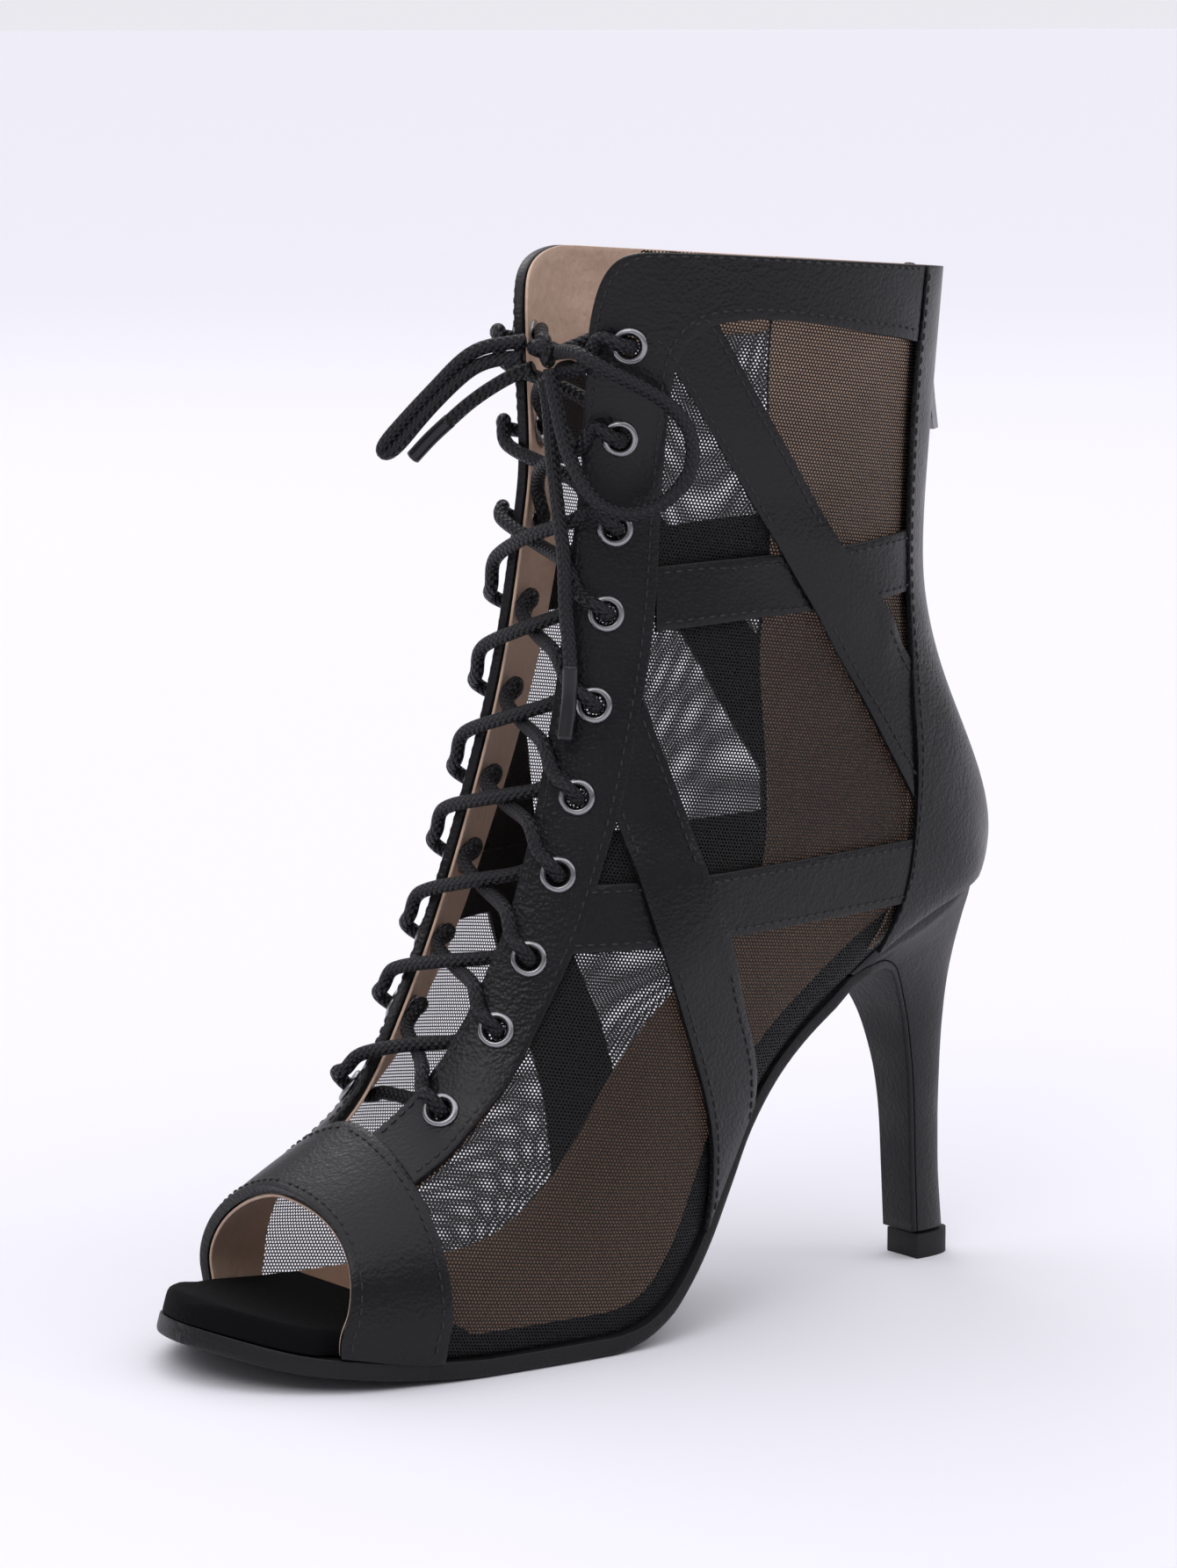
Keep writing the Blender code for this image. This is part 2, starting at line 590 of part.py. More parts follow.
def build_top_piece(made_of):
    """The heel's wearing piece, flat in front."""
    rings = []
    for z in (0.0, TOP_PIECE_HEIGHT - GAP):
        ring = []
        for j in range(HEEL_SIDES + 1):
            angle = math.pi * (j / HEEL_SIDES - 0.5)
            x = TOP_PIECE_LENGTH * (math.cos(angle) ** 0.8 - 0.5)
            ring.append(Vector((x, TOP_PIECE_WIDTH / 2 * math.sin(angle), z)))
        rings.append(ring)
    return loft("heel_top_piece", rings, made_of)


def seat_stations():
    """Shares of LENGTH at which the footbed has its rows over the heel, matching the heel's rim."""
    points, directions = breast_points()
    front = (points[0] + directions[0] * (SHANK_THICKNESS + GAP)).x
    back = HEEL[0][2] * LENGTH
    found = []
    for j in range(HEEL_SIDES, HEEL_SIDES // 2 - 1, -1):
        x = front + (back - front) * math.sin(math.pi * (HEEL_SIDES - j) / HEEL_SIDES)
        found.append((SEAT_OVERHANG - x) / LENGTH)
    return found


def build_footbed(made_of):
    """The padded footbed: inside the upper, and out to the sole's edge at the open toe."""
    rings = []
    inset = NET + 3 * GAP
    tip = 1 - SOLE_EDGE / LENGTH
    stations = [tip] + [along for along in sole_stations() if along < tip - GAP / LENGTH]
    stations += [along for along in seat_stations() if along > HEEL_ROUND_FROM * 0.3]
    stations.append(HEEL_ROUND_FROM * 0.2)
    for along in stations:
        bottom, up = sole_frame(along)
        share = min(max((TOE_OPEN_AT - along) / 0.02, 0.0), 1.0)
        ahead = min(along, HEEL_ROUND_FROM) - 1.4 * inset / LENGTH
        halves = {}
        for side in (OUTER, INNER):
            half = half_plan(along, side) - inset * share
            if along < HEEL_ROUND_FROM:
                half = min(half, half_plan(max(ahead, 0.0), side) - 0.4 * inset)
            halves[side] = max(half, 0.001)
        top = bottom + up * FOOTBED
        rings.append([top + Vector((0, -halves[OUTER], 0)), top + Vector((0, halves[INNER], 0)),
                      bottom + Vector((0, halves[INNER], 0)), bottom + Vector((0, -halves[OUTER], 0))])
    return loft("insole", rings, made_of)


def side_view(s, h):
    """A section's point at the share h of its way to the front, as shares along and up."""
    front, back = section(s)[:2]
    x = back[0] + (front[0] - back[0]) * h
    z = back[1] + (front[1] - back[1]) * h
    return (SEAT_OVERHANG - x) / LENGTH, z / COLLAR_HEIGHT


def beside(s, x, z):
    """On which side of a section's line a point of the side view lies."""
    front, back = section(s)[:2]
    return (front[0] - back[0]) * (z - back[1]) - (front[1] - back[1]) * (x - back[0])


def crossing(measure, low, high):
    """The place between low and high where a measure changes its sign."""
    negative = measure(low) < 0
    for _ in range(30):
        middle = (low + high) / 2
        if (measure(middle) < 0) == negative:
            low = middle
        else:
            high = middle
    return (low + high) / 2


def place_at(along, up, side):
    """Section and turn of a point of the side view."""
    x, z = x_at(along), up * COLLAR_HEIGHT
    steps = spread(round((len(LAST) - 1) / ROW_LOOK), 0.0, len(LAST) - 1.0)
    found = next((pair for pair in zip(steps, steps[1:])
                  if (beside(pair[0], x, z) < 0) != (beside(pair[1], x, z) < 0)), (COLLAR_ROW, COLLAR_ROW + 0.1))
    s = crossing(lambda place: beside(place, x, z), *found)
    front, back = section(s)[:2]
    run, rise = front[0] - back[0], front[1] - back[1]
    h = ((x - back[0]) * run + (z - back[1]) * rise) / (run * run + rise * rise)
    return s, turn_at_height(s, h, side)


def seam_along(up):
    """The back panel's front seam."""
    return float(smooth([row[0] for row in BACK_SEAM], [row[1] for row in BACK_SEAM], up)[0])


def seam_turn(s, side):
    """The turn at which a section meets the back panel's front seam."""
    def ahead(h):
        along, up = side_view(s, h)
        return along - seam_along(up)
    return turn_at_height(s, crossing(ahead, 0.0, 1.0), side)


def facing_rear(up):
    """The facing's rear edge, below the collar band."""
    rows = [row for row in FACING if row[1] == 1.0]
    return float(smooth([row[3] for row in rows], [row[2] for row in rows], up)[0])


def band_rear(turn):
    """The section at which the toe band ends."""
    return float(smooth([row[0] for row in BAND_REAR], [row[1] for row in BAND_REAR], turn)[0])


def table_row(table, at):
    """A table's row at a place between its rows, all of its columns smoothed."""
    return [float(value) for value in smooth(range(len(table)), table, at)]


def grid_cells(rows, columns, side):
    """Cells of a plain grid of places keyed (row, column)."""
    cells = []
    for i in range(rows):
        for j in range(columns):
            cell = [(i, j), (i + 1, j), (i + 1, j + 1), (i, j + 1)]
            cells.append(cell if side == OUTER else cell[::-1])
    return cells


FACING_STEPS = 2          # rows of the facing's sheet for each row of its table
FACING_COLUMNS = 3


def facing_place(at, share, side):
    """A place on the facing: at a row of its table, share 0 on the outer edge, 1 on the rear edge."""
    edge_s, edge_turn, along, up = table_row(FACING, at)
    edge_turn = min(edge_turn, throat_turn(edge_s, side))
    along = max(along, seam_along(up) + 2 * GAP / LENGTH)
    s, turn = place_at(along, up, side)
    if at == len(FACING) - 1:
        edge_turn = seam_turn(edge_s, side) + 0.004
    s, turn = edge_s + (s - edge_s) * share, edge_turn + (turn - edge_turn) * share
    return max(s, band_rear(turn) + 0.05), turn


def build_facing(name, side, made_of):
    """Eyelet facing and collar band of one side, in one piece."""
    rows = (len(FACING) - 1) * FACING_STEPS
    places = {}
    for i in range(rows + 1):
        for j in range(FACING_COLUMNS + 1):
            places[i, j] = (*facing_place(i / FACING_STEPS, j / FACING_COLUMNS, side), side)
    cells = grid_cells(rows, FACING_COLUMNS, -side)
    return sheet(name, places, cells, PANEL_LIFT, LEATHER, True, made_of)


BAND_ROWS = 4
BAND_COLUMNS = 13


def build_toe_band(made_of):
    """The leather band round the open toe, closed over the toes."""
    places, cells = {}, []

    def key(i, j, side):
        return (i, j) if j == BAND_COLUMNS else (i, j, side)

    for side in (OUTER, INNER):
        for j, turn in enumerate(spread(BAND_COLUMNS, BAND_LOW_TURN, 1.0)):
            front = toe_section(turn, side) - BAND_AHEAD
            for i in range(BAND_ROWS + 1):
                places[key(i, j, side)] = (front + (band_rear(turn) - front) * i / BAND_ROWS, turn, side)
        for i in range(BAND_ROWS):
            for j in range(BAND_COLUMNS):
                cell = [key(i, j, side), key(i + 1, j, side), key(i + 1, j + 1, side), key(i, j + 1, side)]
                cells.append(cell if side == OUTER else cell[::-1])
    return sheet("toe_band", places, cells, PANEL_LIFT, BAND_LEATHER, True, made_of)


BACK_COLUMNS = 7


def section_at_back(up):
    """The section that starts at this height of the back seam."""
    return crossing(lambda s: section(s)[1][1] - up * COLLAR_HEIGHT, SEAT_ROW, COLLAR_ROW + 0.5)


def slot_turn(s, half_width):
    """The turn at which the back half of a section is the distance half_width from the middle."""
    return crossing(lambda turn: skin_point(s, turn, INNER).y - half_width, 0.0, 0.4)


def build_back_counter(made_of):
    """The back panel, round the heel and up to the collar on both sides of the zip."""
    start = crossing(lambda s: section(s)[1][0] - x_at(seam_along(section(s)[1][1] / COLLAR_HEIGHT)),
                     SEAT_ROW - 5, SEAT_ROW) + 0.2
    foot = section_at_back(ZIP_FOOT)
    rows = even_rows(start, SEAT_ROW) + even_rows(SEAT_ROW, foot)[1:] + even_rows(foot, COLLAR_ROW)[1:]
    seat = rows.index(SEAT_ROW)
    slot = rows.index(foot)
    places, lifts, cells = {}, {}, []

    def key(i, j, side):
        return (i, j) if j == 0 and seat <= i <= slot else (i, j, side)

    for side in (OUTER, INNER):
        for i, s in enumerate(rows):
            low = 0.0
            if i < seat:
                low = LOWEST_TURN * min(1.0, (SEAT_ROW - s) / 0.6)
            if i > slot:
                low = slot_turn(s, ZIP_SLOT / 2)
            for j, turn in enumerate(spread(BACK_COLUMNS, low, seam_turn(s, side))):
                places[key(i, j, side)] = (s, turn, side)
                lifts[key(i, j, side)] = PANEL_LIFT * (2 + 1.6 * max(0.0, 1 - abs(s - SEAT_ROW) / 2))
        for i in range(len(rows) - 1):
            for j in range(BACK_COLUMNS):
                cell = [key(i, j, side), key(i + 1, j, side), key(i + 1, j + 1, side), key(i, j + 1, side)]
                cells.append(cell if side == OUTER else cell[::-1])
    return sheet("back_counter", places, cells, lifts, LEATHER, True, made_of)


def ride_over(along, up, bar):
    """How far a strap is lifted where it passes over a bar."""
    if bar is None:
        return 0.0
    rows = sorted(((row[0] + row[2]) / 2, (row[1] + row[3]) / 2, (row[1] - row[3]) / 2) for row in bar)
    middle, half = smooth([row[0] for row in rows], [row[1:] for row in rows], along)
    beyond = (abs(up - middle) - half) * COLLAR_HEIGHT
    share = min(max((RISE_RAMP - beyond) / (RISE_RAMP - RISE_TOP), 0.0), 1.0)
    return (LEATHER + 1.5 * PANEL_LIFT) * share * share * (3 - 2 * share)


def build_strap(name, table, columns, bar, side, made_of):
    """A strap between its two edges, stopped short of the facing, the back panel and the sole."""
    way = 0.0
    for row, following in zip(table, table[1:]):
        run = (row[0] + row[2] - following[0] - following[2]) / 2 * LENGTH
        rise = (row[1] + row[3] - following[1] - following[3]) / 2 * COLLAR_HEIGHT
        way += math.hypot(run, rise)
    rows = max(4, round(way / PANEL_STEP))
    places, lifts = {}, {}
    for i in range(rows + 1):
        values = table_row(table, (len(table) - 1) * i / rows)
        for j in range(columns + 1):
            share = j / columns
            along = values[0] + (values[2] - values[0]) * share
            up = values[1] + (values[3] - values[1]) * share
            along = max(along, seam_along(up) + 2 * GAP / LENGTH)
            if up < collar_low(along):
                along = min(along, facing_rear(up) - 2 * GAP / LENGTH)
            up = min(up, collar_low(along) - 2 * GAP / COLLAR_HEIGHT)
            s, turn = place_at(along, up, side)
            places[i, j] = (s, max(turn, LOWEST_TURN), side)
            lifts[i, j] = PANEL_LIFT + ride_over(along, up, bar)
    return sheet(name, places, grid_cells(rows, columns, -side), lifts, LEATHER, True, made_of)


def collar_low(along):
    """The collar band's lower edge."""
    rows = sorted((row[2], row[3]) for row in FACING[15:])
    return float(smooth([row[0] for row in rows], [row[1] for row in rows], along)[0])


def facing_rear_turn(s, side):
    """The turn at which a section meets the facing's rear edge."""
    def ahead(h):
        along, up = side_view(s, h)
        return along - facing_rear(up)
    return turn_at_height(s, crossing(ahead, 0.0, 1.0), side)


def eyelet_turn(s, side):
    """Eyelets sit midway across the facing."""
    rear = facing_rear_turn(s, side)
    return rear + (throat_turn(s, side) - rear) * EYELET_PLACE


def eyelet_matrix(s, side):
    """Frame of an eyelet: on the last, with Z outward."""
    turn = eyelet_turn(s, side)
    outward = skin_normal(s, turn, side)
    matrix = outward.to_track_quat("Z", "Y").to_matrix().to_4x4()
    matrix.translation = skin_point(s, turn, side)
    return matrix


EYELET_SIDES = 8
HOLE_SIDES = 6
HOLE_DEPTH = 0.008


def eyelet_mesh(made_of):
    """Closed profile of the eyelet's wall and flange, turned by a Screw modifier."""
    bore = EYELET_BORE / 2
    wall, flange = bore + EYELET_WALL, EYELET_WIDTH / 2
    base = PANEL_LIFT + LEATHER + GAP
    top, low = base + EYELET_FLANGE, -NET - EYELET_FLANGE
    profile = [(bore, top), (flange - EYELET_WALL, top), (flange, base), (wall, base), (wall, low), (bore, low)]
    mesh = bpy.data.meshes.new("eyelet")
    edges = [(i, (i + 1) % len(profile)) for i in range(len(profile))]
    mesh.from_pydata([(r, 0.0, z) for r, z in profile], edges, [])
    mesh.materials.append(made_of)
    return mesh


def build_eyelets(made_of):
    """Ten eyelets a side, numbered from the toe."""
    mesh = eyelet_mesh(made_of)
    for side, side_name in ((OUTER, "outer"), (INNER, "inner")):
        for number, s in enumerate(EYELETS, 1):
            thing = bpy.data.objects.new(f"eyelet_{side_name}_{number:02d}", mesh)
            thing.matrix_world = eyelet_matrix(s, side)
            bpy.data.collections["dance_boot"].objects.link(thing)
            turned = thing.modifiers.new("turned", "SCREW")
            turned.steps = turned.render_steps = EYELET_SIDES
            turned.use_merge_vertices = True
            turned.merge_threshold = 0.00001
            turned.use_smooth_shade = True


def cutter(name, bm):
    """A hidden cutter from a bmesh."""
    mesh = bpy.data.meshes.new(name)
    bm.to_mesh(mesh)
    bm.free()
    thing = bpy.data.objects.new(name, mesh)
    thing.hide_render = True
    thing.display_type = "WIRE"
    bpy.data.collections["cutters"].objects.link(thing)
    return thing


def cut(thing, tool, operation="DIFFERENCE"):
    """A Boolean between an object and a tool."""
    change = thing.modifiers.new(tool.name, "BOOLEAN")
    change.object = tool
    change.operation = operation
    change.solver = "EXACT"


def weld(thing):
    """Merge the slivers that a join leaves."""
    merge = thing.modifiers.new("weld", "WELD")
    merge.merge_threshold = 0.00002


def build_eyelet_holes(things):
    """Punch the eyelets' holes through net and facings."""
    bm = bmesh.new()
    radius = (EYELET_BORE / 2 + EYELET_WALL + GAP) / math.cos(math.pi / HOLE_SIDES)
    for side in (OUTER, INNER):
        for s in EYELETS:
            bmesh.ops.create_cone(bm, cap_ends=True, segments=HOLE_SIDES, radius1=radius, radius2=radius,
                                  depth=HOLE_DEPTH, matrix=eyelet_matrix(s, side))
    tool = cutter("eyelet_holes", bm)
    for thing in things:
        cut(thing, tool)


def build_zip_tape(made_of):
    """The zip, between the edges of the back panel's slot."""
    rows = even_rows(section_at_back(ZIP_FOOT), COLLAR_ROW)[1:]
    half = ZIP_SLOT / 2 - GAP
    places, cells = {}, []
    for i, s in enumerate(rows):
        places[i, 0] = (s, 0.0, INNER)
        for side in (OUTER, INNER):
            places[i, side] = (s, slot_turn(s, half), side)
    for i in range(len(rows) - 1):
        cells.append([(i, OUTER), (i, 0), (i + 1, 0), (i + 1, OUTER)])
        cells.append([(i, 0), (i, INNER), (i + 1, INNER), (i + 1, 0)])
    return sheet("zip_tape", places, cells, PANEL_LIFT, ZIP_TAPE, True, made_of)


SLIDER_EDGE = 0.0006      # rounding of the slider's corners
BRIDGE_WIDTH = 0.0020
BRIDGE_LENGTH = 0.0072
BRIDGE_WALL = 0.0009
BRIDGE_ROOM = 0.0022      # height of the bridge's window
PULL_BAR = PULL_THICKNESS # the pull's top bar, which lies in the bridge
# The pull hangs from its bar. down, out and half_width are shares of PULL_LENGTH.
PULL = [
    # down, out, half_width
    (-0.024, 0.000, 0.104), (0.200, 0.000, 0.108), (0.280, 0.002, 0.140), (0.480, 0.012, 0.140),
    (0.680, 0.034, 0.140), (0.860, 0.064, 0.136), (0.960, 0.092, 0.120),
]


def add_box(bm, size, centre):
    """A box in a bmesh."""
    made = bmesh.ops.create_cube(bm, size=1.0)
    bmesh.ops.scale(bm, vec=Vector(size), verts=made["verts"])
    bmesh.ops.translate(bm, vec=Vector(centre), verts=made["verts"])


def slider_matrix():
    """The slider's frame on the tape: X outward, Z up the back seam."""
    s = section_at_back(SLIDER_AT)
    up = (skin_point(s + 0.05, 0.0, INNER) - skin_point(s - 0.05, 0.0, INNER)).normalized()
    out = Vector((up.z, 0.0, -up.x))
    matrix = Matrix((out, Vector((0.0, 1.0, 0.0)), up)).transposed().to_4x4()
    matrix.translation = skin_point(s, 0.0, INNER) + out * (ZIP_TAPE + 2.5 * GAP)
    return matrix


def build_zip_slider(made_of):
    """The slider: a rounded body with a bridge that holds the pull's bar."""
    bm = bmesh.new()
    add_box(bm, (SLIDER_HEIGHT, SLIDER_WIDTH, SLIDER_LENGTH), (SLIDER_HEIGHT / 2, 0.0, 0.0))
    bmesh.ops.bevel(bm, geom=list(bm.edges), offset=SLIDER_EDGE, segments=1, affect="EDGES")
    mesh = bpy.data.meshes.new("zip_slider")
    bm.to_mesh(mesh)
    bm.free()
    mesh.materials.append(made_of)
    thing = bpy.data.objects.new("zip_slider", mesh)
    thing.matrix_world = slider_matrix()
    bpy.data.collections["dance_boot"].objects.link(thing)
    height = BRIDGE_ROOM + BRIDGE_WALL + SLIDER_EDGE
    bm = bmesh.new()
    add_box(bm, (height, BRIDGE_WIDTH, BRIDGE_LENGTH), (SLIDER_HEIGHT - SLIDER_EDGE + height / 2, 0.0, 0.0))
    bridge = cutter("slider_bridge", bm)
    bm = bmesh.new()
    room = BRIDGE_ROOM + 0.2 * SLIDER_EDGE
    add_box(bm, (room, 2 * BRIDGE_WIDTH, BRIDGE_LENGTH - 2 * BRIDGE_WALL),
            (SLIDER_HEIGHT + BRIDGE_ROOM - room / 2, 0.0, 0.0))
    window = cutter("slider_window", bm)
    for tool, operation in ((bridge, "UNION"), (window, "DIFFERENCE")):
        tool.matrix_world = thing.matrix_world
        cut(thing, tool, operation)
    return thing


def build_zip_pull(made_of):
    """The pull tab, with its origin on its hinge: a bar across its top, inside the bridge."""
    rings = []
    points = [Vector((out * PULL_LENGTH, 0.0, -down * PULL_LENGTH)) for down, out, half in PULL]
    for i, (down, out, half) in enumerate(PULL):
        ahead = (points[min(i + 1, len(points) - 1)] - points[max(i - 1, 0)]).normalized()
        side_way = Vector((-ahead.z, 0.0, ahead.x)) * PULL_THICKNESS / 2
        across = Vector((0.0, half * PULL_LENGTH, 0.0))
        rings.append([points[i] + side_way - across, points[i] + side_way + across,
                      points[i] - side_way + across, points[i] - side_way - across])
    thing = loft("zip_pull", rings, made_of)
    hinge = slider_matrix() @ Vector((SLIDER_HEIGHT + BRIDGE_ROOM / 2, 0.0, 0.0))
    thing.location = hinge
    bm = bmesh.new()
    room = BRIDGE_LENGTH / 2 + 2 * GAP
    add_box(bm, (4 * PULL_THICKNESS, BRIDGE_WIDTH + 4 * GAP, room), (0.0, 0.0, -PULL_BAR / 2 - room / 2))
    window = cutter("pull_window", bm)
    window.location = hinge
    cut(thing, window)
    return thing


CROSSINGS_OVER = 3        # from the collar, crossings that start outside the facings
CROSSINGS_DOWN = 3        # from this crossing on, they end outside the facings
LACE_LEAVES = 0.32        # where a strand passes the throat's edge, as a share of the way to the other row
LACE_ARRIVES = 0.18
LACE_OVER = 0.0006        # how far one strand of a crossing passes over the other, from their middle
LACE_CLEAR = 0.0012       # more room than GAP beside the facings' edges


def lace_lift(outside, at_eyelet):
    """Height of the lace's middle over the last, outside or inside the facing."""
    if outside:
        return PANEL_LIFT + LEATHER + LACE / 2 + LACE_CLEAR + (EYELET_FLANGE + GAP if at_eyelet else 0.0)
    return -NET - 2 * GAP - LACE / 2 - (EYELET_FLANGE if at_eyelet else 0.0)


def lace_spot(s, side, outside):
    """Where the lace lies at an eyelet, on the throat's side of its hole."""
    turn = eyelet_turn(s, side)
    turn += (throat_turn(s, side) - turn) * 0.2
    return skin(s, turn, side, lace_lift(outside, True))


def lace_edge(s, side, outside):
    """Where the lace passes the throat's edge."""
    return skin(s, throat_turn(s, side), side, lace_lift(outside, False))


def strand(upper, lower, side, above_out, below_out):
    """A strand's points from one side's upper eyelet to the other side's lower one."""
    near, far = upper + (lower - upper) * LACE_LEAVES, lower + (upper - lower) * LACE_ARRIVES
    first = [lace_spot(upper, side, above_out), lace_edge(near, side, above_out)]
    last = [lace_edge(far, -side, below_out), lace_spot(lower, -side, below_out)]
    return first, last


def tube(name, points, width, made_of, round_steps=2):
    """A round cord through its points."""
    curve = bpy.data.curves.new(name, "CURVE")
    curve.dimensions = "3D"
    curve.bevel_depth = width / 2
    curve.bevel_resolution = round_steps
    curve.use_fill_caps = True
    line = curve.splines.new("POLY")
    line.points.add(len(points) - 1)
    for spot, point in zip(line.points, points):
        spot.co = (*point, 1.0)
    line.use_smooth = True
    curve.materials.append(made_of)
    thing = bpy.data.objects.new(name, curve)
    bpy.data.collections["dance_boot"].objects.link(thing)
    return thing


def as_mesh(thing):
    """A curve object made a mesh, its caps welded."""
    name = thing.name
    bpy.context.view_layer.update()
    mesh = bpy.data.meshes.new_from_object(thing.evaluated_get(bpy.context.evaluated_depsgraph_get()))
    bm = bmesh.new()
    bm.from_mesh(mesh)
    bmesh.ops.remove_doubles(bm, verts=bm.verts, dist=0.00001)
    bm.to_mesh(mesh)
    bm.free()
    made = bpy.data.objects.new(name + "_mesh", mesh)
    made.matrix_world = thing.matrix_world
    bpy.data.objects.remove(thing, do_unlink=True)
    made.name = name
    bpy.data.collections["dance_boot"].objects.link(made)
    return made


def hide_as_cutter(thing):
    """Keep a shape only as a Boolean's tool."""
    bpy.data.collections["dance_boot"].objects.unlink(thing)
    bpy.data.collections["cutters"].objects.link(thing)
    thing.hide_render = True
    thing.display_type = "WIRE"


def build_crossings(made_of):
    """The lace between its eyelets: nine crossings and the bar over the toes."""
    rows = EYELETS[::-1]
    for number, (upper, lower) in enumerate(zip(rows, rows[1:]), 1):
        above_out, below_out = number <= CROSSINGS_OVER, number >= CROSSINGS_DOWN
        ends = [strand(upper, lower, side, above_out, below_out) for side in (OUTER, INNER)]
        middle = sum((first[-1] + last[0] for first, last in ends), Vector()) / 4
        made = []
        for (first, last), name in zip(ends, ("lace_crossing", "lace_crossing_tool")):
            points = first + [middle + Vector((0.0, 0.0, LACE_OVER * (1 - 2 * len(made))))] + last
            made.append(as_mesh(tube(f"{name}_{number}", points, LACE, made_of, 1)))
        hide_as_cutter(made[1])
        cut(made[0], made[1], "UNION")
        weld(made[0])
    toe = EYELETS[0]
    points = [lace_spot(toe, OUTER, False), lace_edge(toe, OUTER, False),
              lace_edge(toe, INNER, False), lace_spot(toe, INNER, False)]
    tube("lace_bottom_bar", points, LACE, made_of, 1)


# The bow's route: places chosen along it, in metres.
KNOT = (-0.1106, 0.0, 0.2197)
KNOT_SIZE = (0.0045, 0.0044, 0.0046)
LOOP_FAR = [
    (-0.1138, 0.0034, 0.2217), (-0.1212, 0.0125, 0.2192), (-0.1266, 0.0212, 0.2102), (-0.1318, 0.0290, 0.2006),
    (-0.1334, 0.0310, 0.1975), (-0.1339, 0.0318, 0.1955), (-0.1328, 0.0308, 0.1950), (-0.1313, 0.0284, 0.1972),
    (-0.1266, 0.0212, 0.2067), (-0.1213, 0.0128, 0.2154), (-0.1172, 0.0076, 0.2176),
    (-0.1144, 0.0034, 0.2181),
]
END_FAR = [
    (-0.1118, 0.0032, 0.2156), (-0.1143, 0.0078, 0.2136), (-0.1170, 0.0130, 0.2104), (-0.1196, 0.0170, 0.2071),
    (-0.1216, 0.0212, 0.2034),
]
TIP_FAR = [(-0.12175, 0.0216, 0.2031), (-0.1240, 0.0258, 0.1990), (-0.1262, 0.0296, 0.1946)]
LOOP_NEAR = [
    (-0.1109, -0.0057, 0.2194), (-0.1121, -0.0108, 0.2199), (-0.1136, -0.0164, 0.2199), (-0.1130, -0.0205, 0.2183),
    (-0.1103, -0.0241, 0.2160), (-0.1046, -0.0276, 0.2126), (-0.0994, -0.0312, 0.2087), (-0.0966, -0.0344, 0.2034),
    (-0.0964, -0.0356, 0.1970), (-0.0977, -0.0347, 0.1924), (-0.1018, -0.0324, 0.1876), (-0.1076, -0.0294, 0.1849),
    (-0.1130, -0.0254, 0.1862), (-0.1152, -0.0200, 0.1916), (-0.1154, -0.0140, 0.1998), (-0.1150, -0.0096, 0.2098),
    (-0.1150, -0.0078, 0.2160),
]
END_NEAR = [
    (-0.1124, -0.0022, 0.2126), (-0.1136, -0.0054, 0.2062), (-0.1153, -0.0090, 0.1968), (-0.1167, -0.0128, 0.1868),
    (-0.1181, -0.0172, 0.1758), (-0.1184, -0.0184, 0.1640), (-0.1188, -0.0206, 0.1524),
]
TIP_NEAR = [(-0.1188, -0.0207, 0.1516), (-0.1194, -0.0210, 0.1438), (-0.1214, -0.0220, 0.1355)]
TIP = 0.0026              # lace's end sleeve, across
ROUTE_STEPS = 2           # tube points for each step of a route


def through(route):
    """A smooth curve through a route's points."""
    count = (len(route) - 1) * ROUTE_STEPS
    values = np.array(route)
    tangents = np.gradient(values, axis=0)
    points = []
    for k in range(count + 1):
        i = min(k // ROUTE_STEPS, len(route) - 2)
        u = k / ROUTE_STEPS - i
        points.append(values[i] * (2 * u**3 - 3 * u**2 + 1) + tangents[i] * (u**3 - 2 * u**2 + u)
                      + values[i + 1] * (3 * u**2 - 2 * u**3) + tangents[i + 1] * (u**3 - u**2))
    return points


def build_bow(made_of, tip_made_of):
    """The knot with the lace that feeds it, two loops and two ends with their sleeves."""
    top = EYELETS[-1]
    middle = Vector(KNOT)
    ends = {side: [lace_spot(top, side, False), lace_edge(top, side, False)] for side in (OUTER, INNER)}
    points = ends[OUTER] + [middle] + ends[INNER][::-1]
    knot = as_mesh(tube("lace_knot", points, LACE, made_of, 1))
    bm = bmesh.new()
    bmesh.ops.create_uvsphere(bm, u_segments=10, v_segments=7, radius=1.0)
    bmesh.ops.scale(bm, vec=Vector(KNOT_SIZE), verts=bm.verts)
    body = cutter("knot_body", bm)
    body.location = middle
    cut(knot, body, "UNION")
    weld(knot)
    for name, route in (("lace_loop_far", LOOP_FAR), ("lace_loop_near", LOOP_NEAR), ("lace_end_far", END_FAR),
                        ("lace_end_near", END_NEAR)):
        tube(name, through(route), LACE, made_of, 2)
    for name, route in (("lace_tip_far", TIP_FAR), ("lace_tip_near", TIP_NEAR)):
        tube(name, route, TIP, tip_made_of, 2)


